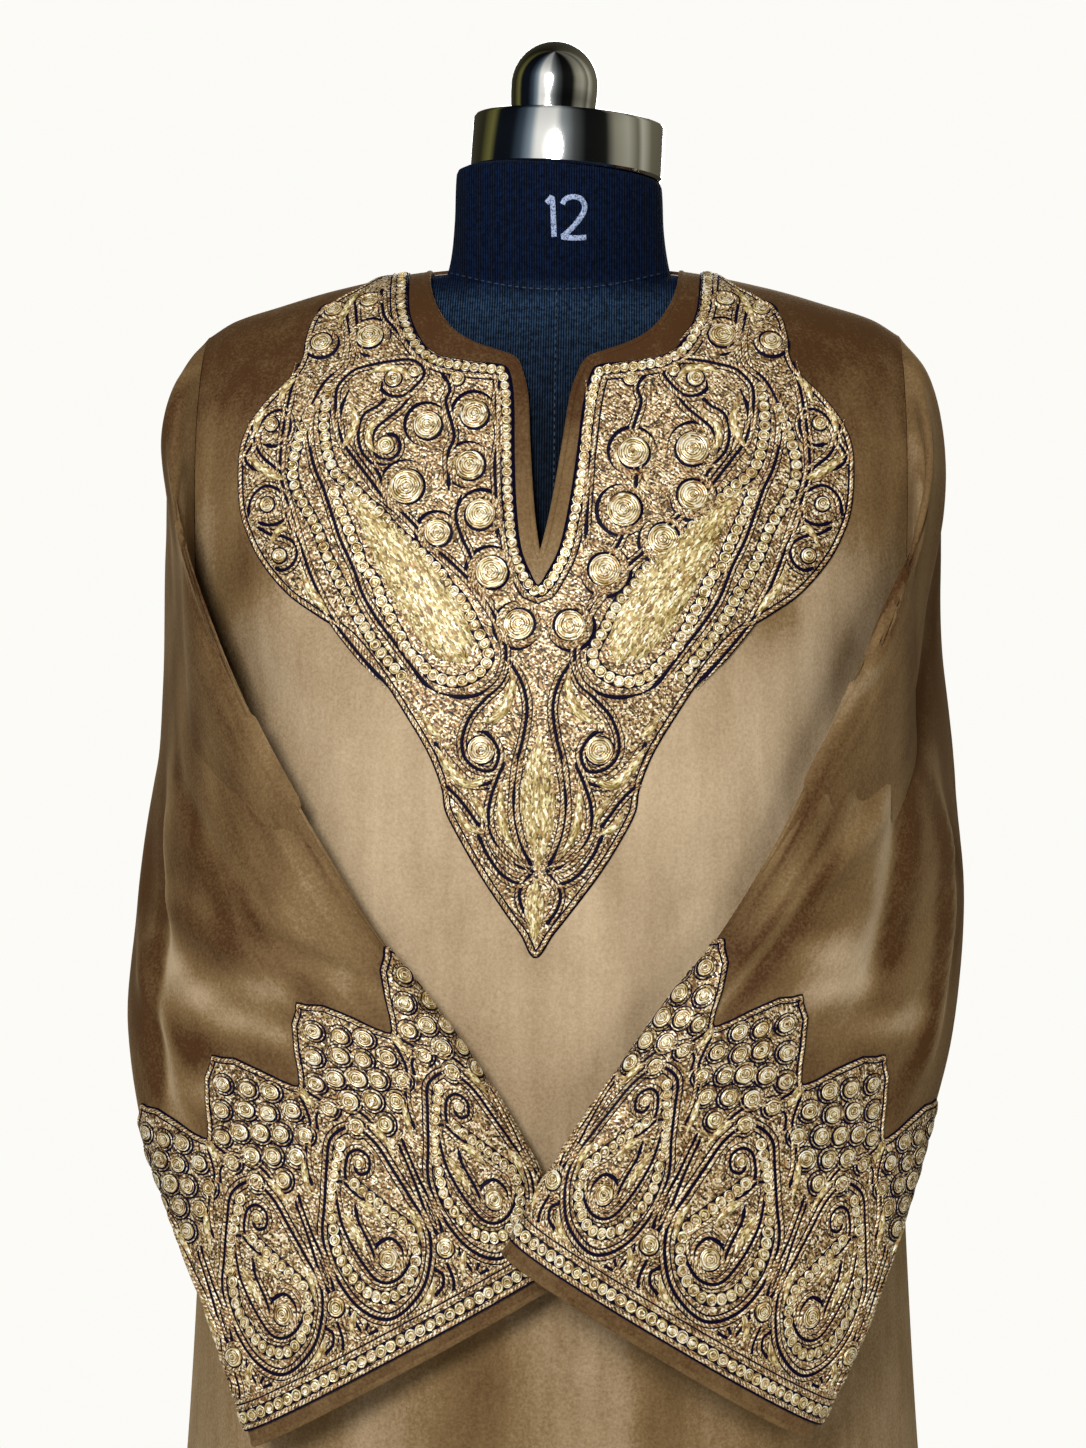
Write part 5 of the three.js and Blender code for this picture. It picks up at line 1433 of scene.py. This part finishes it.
CUFF_CORDS = [
    (1, [
        (44.3, 91.8), (40, 101.2), (33.2, 107.6), (25.1, 106.7), (21, 99.1), (25.4, 91.6),
        (32.7, 92.2), (34.9, 97.9), (30.3, 101.5),
    ]),
    (1, [
        (40.2, 59.5), (29.4, 58.3), (25.2, 48.7), (31.1, 40), (39.6, 40.2), (44.9, 47.4),
        (45, 60), (46, 72), (43.5, 82),
    ]),
    (-1, [(4.3, 98.1), (5.6, 76.8), (7.2, 54.8), (5.2, 44)]),
    (1, [(-2, 100), (-1, 78), (-2.4, 56), (0.5, 44)]),
    (1, [(4.1, 33), (4.6, 21.2), (7, 15.5)]),
    (-1, [(-1, 33), (-3.5, 22), (-6, 15.5)]),
    (1, [(12, 105), (14, 118), (20, 128), (29, 134), (36, 146)]),
    (-1, [(60, 100), (57, 112), (50, 122), (42, 130), (36.5, 146)]),
    (1, [(13, 33), (9, 27), (12, 20), (19, 17)]),
    (-1, [(62, 24), (66, 20), (64, 16), (57, 15.5)]),
    (1, [(31, 124), (36, 131), (41, 124)]),
]
CUFF_LEAVES = [
    (3.4, [(50.8, 79.7), (48, 68.2), (47.5, 57)]), (2.6, [(31, 66), (35, 76), (40.5, 82)]),
    (2.4, [(14.5, 47), (11.8, 58), (14, 68)]), (2.2, [(66, 96), (62.5, 108), (58, 118)]),
    (2.2, [(8, 96), (10, 108), (13, 116)]), (2.4, [(16, 27), (22, 20.5), (31, 17.5)]),
    (2.4, [(64.5, 33), (70, 27), (72.3, 20)]), (2.4, [(34, 150), (36.2, 139), (38, 150)]),
]
# Discs of the cluster about the peak at 0: distance from the peak, height, radius
CLUSTER = [
    (3.5, 172.5, 5.4), (-8.5, 163, 5.6), (-20, 155.4, 5.6), (15.2, 160.3, 5.6), (1, 153.8, 6),
    (-9.4, 146, 5.6), (-23.4, 140.5, 5.4), (13.5, 144.3, 5.8), (2.2, 138.5, 6.2),
    (-8.3, 132.6, 5.6), (-21.2, 125.8, 5.2), (25.4, 147, 5.4), (15.3, 129.8, 5.8),
    (3.2, 124.2, 5.6), (-9.8, 118, 5.4), (28.7, 131.7, 5.2), (20.4, 116.5, 5.4), (4.2, 110.4, 5.4),
]
# Height of the cuff's upper edge by distance from a peak
CUFF_TOP = [(0, 190), (3, 187), (11.5, 182), (21.8, 168.5), (28, 158.5), (33, 152), (36.15, 150)]


# The cuff's ground: a band whose upper edge has a peak in every repeat
def cuff_ground():
    drawing = new_drawing()
    around, rows = 56 * CUFF_REPEATS, 72
    u = np.arange(around) * WHOLE_CUFF / around
    from_peak = np.abs((u + REPEAT / 2) % REPEAT - REPEAT / 2)
    top = np.interp(from_peak, values_of(CUFF_TOP, 0), values_of(CUFF_TOP, 1))
    v = np.linspace(0, 1, rows)[:, None] * top
    flat = np.stack([np.broadcast_to(u, v.shape), v], -1).reshape(-1, 2)
    near = np.clip(np.minimum(v, top - v) / 1.5, 0, 1).ravel()
    rise = GROUND_FOOT + (GROUND_TOP - GROUND_FOOT) * np.sqrt(near)
    faces = grid_faces(rows, around, True)
    draw(drawing, np.column_stack([flat, rise]), faces, flat * MM)
    return drawing


# Line all round a cuff at one height
def level_line(height, step=1.4):
    around = np.arange(0, WHOLE_CUFF, step)
    return np.column_stack([around, np.full_like(around, height)])


# A disc of the cluster: a navy ring, a gilt ring and a coil, each on the one before
def cluster_disc(work, x, z, radius):
    foot = GROUND_TOP - 0.2
    disc(work["navy"], x - 0.2, z - 0.3, radius + 2.1, 0.5, foot, FLAT_DISC, 20)
    disc(work["rings"], x, z, radius + 1.3, 0.65, foot, FLAT_DISC, 20)
    disc(work["navy"], x - 0.35, z - 0.45, radius + 0.15, 0.8, foot, FLAT_DISC, 20)
    disc(work["discs"], x, z, radius - 0.7, 0.9, GROUND_TOP, CLUSTER_DISC, 18)


# Height and width of the cords and of the navy lines that run all round a cuff
CUFF_LEVEL_CORDS = [(1.0, 2.2), (12.2, 1.9), (14.9, 1.9)]
CUFF_LEVEL_NAVY = [(6.4, 8.6), (13.5, 0.9), (-0.5, 1.2)]
# Height, radius and distance apart of the row of discs between them
CUFF_ROW = (6.4, 3.3, 6.3)


def cuff_work():
    work = new_work()
    for height, width in CUFF_LEVEL_CORDS:
        cord(work["cords"], level_line(height), width, CORD_HEIGHT, GROUND_TOP - 0.3, True)
    for height, width in CUFF_LEVEL_NAVY:
        line = level_line(height)
        cord(work["navy"], line, width, NAVY_HEIGHT, GROUND_TOP - 0.2, True, section=FLAT_STRIP)
    height, radius, apart = CUFF_ROW
    for u in np.arange(0, WHOLE_CUFF - radius, WHOLE_CUFF / round(WHOLE_CUFF / apart)):
        disc(work["discs"], u, height, radius, DISC_HEIGHT, GROUND_TOP, SMALL_DISC, 12)
    away, high = values_of(CUFF_TOP, 0), values_of(CUFF_TOP, 1) - 1.2
    peak = np.column_stack([[*-away[:0:-1], *away], [*high[:0:-1], *high]])
    for k in range(CUFF_REPEATS):
        shift = np.array([k * REPEAT, 0])
        doubled(work, PAISLEY + shift)
        chain(work, PAISLEY_CHAIN + shift, 3.3)
        lined(work, PAISLEY_INNER + shift, 1, 0, True)
        for side, line in CUFF_CORDS:
            lined(work, line + shift, side)
        for half, line in CUFF_LEAVES:
            thin_leaf(work, line + shift, half, 0.1)
        for x, z, radius in CLUSTER:
            cluster_disc(work, x + shift[0], z, radius)
        ringed_disc(work, shift[0] + 36, 48, 5.6, 2.2, 1.35)
        ringed_disc(work, shift[0] + 3.2, 38.5, 5.2, 2.2, 1.35)
        disc(work["discs"], shift[0] + 29.5, 99.2, 3, DISC_HEIGHT, GROUND_TOP, SMALL_DISC, 12)
        edge = even_steps(peak + shift, 1.4)
        cord(work["cords"], edge, 2.0, 1.3, 0.8)
        cord(work["navy"], offset_line(edge, 1.5), 1.2, 1.0, 0.1)
        cord(work["navy"], offset_line(edge, -1.8), 1.0, 0.3, GROUND_TOP, section=FLAT_STRIP)
    return work


# Line of a neckline's edge, from the left shoulder through the lowest point to the right one
def neck_edge(table, low):
    rows = [row for row in table if row[0] <= 1391]
    down, half = values_of(rows, 0), values_of(rows, 1)
    left = np.column_stack([neck_middle(down) - half, down])
    right = np.column_stack([neck_middle(down) + half, down])[::-1]
    line = np.concatenate([[(-71, 1399)], left, low, right, [(75, 1399)]])
    return smooth_line(unrolled(line), 2.0)


# Rolled edges of the velvet: the neck, the slit, the robe's hem and the sleeves' hems
NECK_EDGES = {
    "front": (-1, FRONT_NECK[:-1], [(neck_middle(1234.5), 1234.5)]),
    "back": (1, BACK_NECK, [(2, 1371.6)]),
}
for name, (side, table, low) in NECK_EDGES.items():
    edge = new_drawing()
    cord(edge, neck_edge(table, low), 3.6, 3.0, -2.3, section=ROLLED)
    hem_z = HEM_Z + 2.0
    half = look_up(BODY, 3, np.array([hem_z]))[0] - 0.5
    hem_line = np.column_stack([np.linspace(-half, half, 240), np.full(240, hem_z)])
    cord(edge, hem_line, 4.4, 3.4, -2.7, section=ROLLED)

    def on_panel(flat, side=side):
        return on_body(flat, side)

    node = "neck_binding_" + name
    piece = stitched(name + "_rolled_edges", edge, on_panel, "velvet", velvet, node)
    paint_pile_and_shading(piece, body_pile_and_shading(places_of(piece)))

for name, sleeve in SLEEVES.items():
    def on_sleeve(flat, sleeve=sleeve):
        return on_cuff(sleeve, flat)

    hem = new_drawing()
    cord(hem, level_line(-8.4, 1.5), 4.0, 3.4, -2.7, True, section=ROLLED)
    piece = stitched(name + "_sleeve_hem", hem, on_sleeve, "velvet", velvet)
    # The rolled hem: the sleeve's pile and painted light and shade, a little lighter
    paint_pile_and_shading(piece, sleeve_pile_and_shading(places_of(piece), name) + 0.04)
    node = name + "_cuff_embroidery"
    stitched(name + "_cuff_ground", cuff_ground(), on_sleeve, "metal_thread", gold_ground, node)
    work = cuff_work()
    for key, material in WORK:
        stitched(name + "_cuff_" + key, work[key], on_sleeve, "metal_thread", material)


# The form: torso and neck under jersey
def form_grid(side):
    drops = np.concatenate([
        75 * (1 - np.cos(np.linspace(0, math.pi / 2, 16, endpoint=False))),
        np.linspace(75, SHOULDER_TOP - HEM_Z, 90),
    ])
    turns = np.linspace(-0.5, 0.5, 61)
    across = np.sin(turns * math.pi)[None, :]
    half_top = look_up(TORSO, 3, np.array([SHOULDER_TOP]))[0]
    top = shoulder_z(across * half_top) - 2.5
    z = top - drops[:, None] * (top - FORM_BOTTOM_Z) / (SHOULDER_TOP - HEM_Z)
    x = across * look_up(TORSO, 3, z)
    y = section_y(TORSO, side, x, z, top)
    return np.stack([x, y, z], -1)


front_half, back_half = form_grid(-1), form_grid(1)
loops = np.concatenate([front_half, back_half[:, -2:0:-1]], axis=1)
rows, columns = loops.shape[:2]
torso_faces = [tuple(f) for f in grid_faces(rows, columns, True, True)]
torso_faces.append(tuple(range((rows - 1) * columns, rows * columns)))
torso = new_object("form_torso_jersey", loops, torso_faces)
choose(torso)
bpy.ops.object.mode_set(mode="EDIT")
bpy.ops.mesh.select_all(action="SELECT")
bpy.ops.mesh.remove_doubles(threshold=0.00005)
bpy.ops.mesh.normals_make_consistent(inside=False)
bpy.ops.object.mode_set(mode="OBJECT")
smooth(torso, 60)


NECK_ROWS, NECK_SIDES = 60, 128
neck_z = np.linspace(NECK[0][0], NECK[-1][0], NECK_ROWS)
neck_angles = np.linspace(0, 2 * math.pi, NECK_SIDES, endpoint=False)


def neck_point(angle, z, out=0.0):
    lean = NECK_TILT * ramp(z, NECK[2][0], NECK_TOP_Z)
    across = (look_up(NECK, 3, z) + out) * np.cos(angle)
    y = look_up(NECK, 2, z) + (look_up(NECK, 4, z) + out) * np.sin(angle)
    return np.stack([look_up(NECK, 1, z) + across, y, z - across * np.tan(lean)], -1)


neck_grid = neck_point(neck_angles[None, :], np.repeat(neck_z[:, None], NECK_SIDES, 1))
neck_faces = grid_faces(NECK_ROWS, NECK_SIDES, True)
last = (NECK_ROWS - 1) * NECK_SIDES
neck_faces += [list(range(NECK_SIDES - 1, -1, -1)), list(range(last, last + NECK_SIDES))]
neck = new_object("form_neck_jersey", neck_grid, neck_faces)
apply_modifier(torso, "BOOLEAN", operation="UNION", object=neck, solver="EXACT")
bpy.data.objects.remove(neck)
smooth(torso, 60)
finished(torso, "jersey", jersey, "form_torso")


# Places on the front of the neck and chest for x, z and rise
def on_form(flat):
    x, z, rise = np.asarray(flat, float).T
    middle, depth, half = look_up(NECK, 1, z), look_up(NECK, 4, z), look_up(NECK, 3, z)
    across = np.clip((x - middle) / half, -0.98, 0.98)
    neck_y = look_up(NECK, 2, z) - depth * np.sqrt(1 - across**2)
    top = shoulder_z(x * 200 / 192) - 2.5
    high = np.minimum(z, top - 1.0)
    chest_y = section_y(TORSO, -1, x, high, top)
    y = np.where(z > 1381, neck_y, np.minimum(neck_y, chest_y))
    return np.stack([x, y - rise, z], -1)


# Seams of the jersey, one round the neck's foot and one down the front, with their stitches
seams, stitches = new_drawing(), new_drawing()
across = np.linspace(-58, 64, 90)
round_neck = np.column_stack([across, 1383.5 + 0.0034 * (across - 4) ** 2])
down_front = np.column_stack([np.full(60, 4.0), np.linspace(1382, 1215, 60)])
for line in (round_neck, down_front):
    cord(seams, line, 2.2, 0.8, -0.3, section=ROLLED)
    places = even_steps(line, 4.0)
    for a, b in zip(places[:-1], places[1:]):
        stitch = even_steps(np.array([a, a + (b - a) * 0.5]), 1.0)
        cord(stitches, stitch, 0.7, 0.4, 0.4)
stitched("form_seams", seams, on_form, "jersey", jersey)
stitched("form_seam_stitches", stitches, on_form, "jersey", stitch_thread)

# Size number chalked on the neck: a one and a two
number = new_drawing()
CHALK_LINES = [
    [(-1.4, 1430.4), (0.2, 1432.2), (1.5, 1433.6), (2.1, 1429), (2.4, 1421), (2.8, 1412)],
    [
        (7.4, 1429.8), (9, 1432.4), (12.6, 1433.8), (17, 1433.2), (19.4, 1430.4), (19.6, 1427),
        (18, 1423.4), (14.2, 1418.4), (10, 1414.2), (7.4, 1412), (10, 1411.6), (15, 1411.4),
        (20.6, 1411.8),
    ],
]
for line in CHALK_LINES:
    cord(number, smooth_line(line, 1.0), 3.0, 0.35, -0.05, section=FLAT_STRIP)
stitched("chalk_number", number, on_form, "jersey", chalk)

# Profiles of the chrome fittings, turned on a lathe: radius, height
CAP = [(0, 0), (54, 0), (55.5, 1.5), (55.5, 29), (54.6, 30.8), (52, 31.6), (30, 31.9), (0, 32)]
KNOB_BALL, KNOB_BALL_Z = 25.2, 19.4
KNOB = [(0, -0.5), (24.2, -0.5), (24.4, 1), (24.5, 5), (24.8, 10), (25.1, 14)]
for degrees in range(0, 86, 5):
    turn = math.radians(degrees)
    KNOB.append((KNOB_BALL * math.cos(turn), KNOB_BALL_Z + KNOB_BALL * math.sin(turn)))
KNOB.append((0, KNOB_BALL_Z + KNOB_BALL))
POLE = [
    (0, 12.3), (19, 12.3), (21, 13.5), (21.5, 16), (21.5, 27), (20.5, 30), (17, 33), (13.5, 36),
    (12.5, 39), (12.5, 677), (13.5, 680), (18, 683), (23, 685.5), (24.5, 688), (24.5, 699.6),
    (0, 699.6),
]
BASE = [(0, 0), (158.5, 0), (160, 1.5), (160, 7.5), (158.5, 10), (154, 11.6), (148, 12), (0, 12)]


def lathe(name, profile, place, lean, node):
    points = [(radius, 0, z) for radius, z in profile]
    edges = [(k, k + 1) for k in range(len(points) - 1)]
    piece = new_object(name, points, [], edges)
    apply_modifier(
        piece, "SCREW", angle=2 * math.pi, steps=96, render_steps=96, use_merge_vertices=True,
        merge_threshold=0.00001,
    )
    bpy.ops.object.mode_set(mode="EDIT")
    bpy.ops.mesh.select_all(action="SELECT")
    bpy.ops.mesh.remove_doubles(threshold=0.000005)
    bpy.ops.mesh.normals_make_consistent(inside=False)
    bpy.ops.object.mode_set(mode="OBJECT")
    turn = Matrix.Rotation(lean, 4, "Y")
    piece.data.transform(Matrix.Translation(Vector(place) * MM) @ turn)
    smooth(piece, 35)
    finished(piece, "chrome", chrome, node)


lathe("chrome_neck_cap", CAP, CAP_PLACE, NECK_TILT, "form_neck_cap")
lathe("chrome_knob", KNOB, KNOB_PLACE, NECK_TILT, "form_finial")
lathe("chrome_pole", POLE, (0, 0, 0), 0, "form_pole")
lathe("chrome_base", BASE, (0, 0, 0), 0, "form_base")

bpy.ops.object.select_all(action="DESELECT")
bpy.ops.mesh.primitive_circle_add(vertices=96, radius=1.75, fill_type="NGON", location=(0, 0, 0))
floor = bpy.context.object
floor.name = "studio_floor"
floor.data.materials.append(floor_paint)
floor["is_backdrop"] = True

# Broad soft light from the front and above, weak fills from the right, the sides and behind.
# Place, aim, size in metres, power, and whether the chrome and the gilt reflect it.
LIGHTS = [
    ("key_light", (-0.55, -2.35, 2.1), (0, 0, 1.05), 0.75, 64, True),
    ("front_fill", (1.2, -2.2, 1.7), (0, 0, 1.05), 0.8, 12, False),
    ("back_fill", (0.3, 2.6, 1.9), (0, 0, 0.9), 1.6, 30, True),
    ("left_fill", (-2.4, -0.2, 1.5), (0, 0, 0.9), 1.0, 7, False),
    ("right_fill", (2.4, -0.2, 1.5), (0, 0, 0.9), 1.0, 9, False),
]
for name, place, aim, size, power, mirrored_in_chrome in LIGHTS:
    bpy.ops.object.light_add(type="AREA", location=place)
    lamp = bpy.context.object
    lamp.name = name
    lamp.data.energy = power
    lamp.data.shape = "DISK"
    lamp.data.size = size
    lamp.rotation_euler = (Vector(aim) - Vector(place)).to_track_quat("-Z", "Y").to_euler()
    lamp.visible_glossy = mirrored_in_chrome

# The room: off-white to the camera. In reflections it has walls by their bearing in degrees, from
# behind by the left, the front and the right: dark shelves, a tall window and beige curtains.
WALLS = [
    (-180, "#4a463a"), (-126, "#2a291c"), (-106, "#6c6a3c"), (-96, "#10141a"), (-70, "#10151e"),
    (-56, "#3c4a5a"), (-44, "#8d9cab"), (-36, "#ffffff"), (-14, "#ffffff"), (-6, "#98a0a6"),
    (10, "#4a4e50"), (24, "#101112"), (50, "#1a1a19"), (62, "#8f8c7e"), (80, "#a8a698"),
    (96, "#6c695a"), (104, "#b4b2a4"), (122, "#6c6858"), (180, "#4a463a"),
]
# How bright they are from the floor's height up to the ceiling
UPWARD = [(0.0, 0.4), (0.08, 0.9), (0.4, 1.0), (0.8, 0.5), (1.0, 0.3)]
world = bpy.data.worlds.new("studio")
bpy.context.scene.world = world
world.use_nodes = True
room = world.node_tree
room.nodes.clear()
direction = put(room, "ShaderNodeTexCoord").outputs["Generated"]
axes = put(room, "ShaderNodeSeparateXYZ", {"Vector": direction})
toward = calculate(room, "MULTIPLY", axes.outputs["Y"], -1.0)
bearing = calculate(room, "ARCTAN2", axes.outputs["X"], toward)
turned = put(room, "ShaderNodeMapRange", {"Value": bearing, "From Min": -math.pi, "From Max": math.pi})
stops = [((degrees + 180) / 360, paint(colour)) for degrees, colour in WALLS]
walls = colour_ramp(room, turned.outputs["Result"], stops)
upward = colour_ramp(room, axes.outputs["Z"], [(at, grey(value)) for at, value in UPWARD])
studio = put(
    room, "ShaderNodeMix", {"Factor": 1.0, 6: walls, 7: upward},
    data_type="RGBA", blend_type="MULTIPLY",
)
dim = put(room, "ShaderNodeBackground", {"Color": studio.outputs[2], "Strength": 1.1})
pale = put(room, "ShaderNodeBackground", {"Color": paint("#fcfbf7"), "Strength": 1.0})
seen = put(room, "ShaderNodeLightPath").outputs["Is Camera Ray"]
mix = put(room, "ShaderNodeMixShader", {0: seen, 1: dim.outputs[0], 2: pale.outputs[0]})
put(room, "ShaderNodeOutputWorld", {"Surface": mix.outputs[0]})

bpy.context.scene.view_settings.view_transform = "Standard"

# Lowest and highest corner, in metres, of all the shown pieces but the floor
low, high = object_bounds()
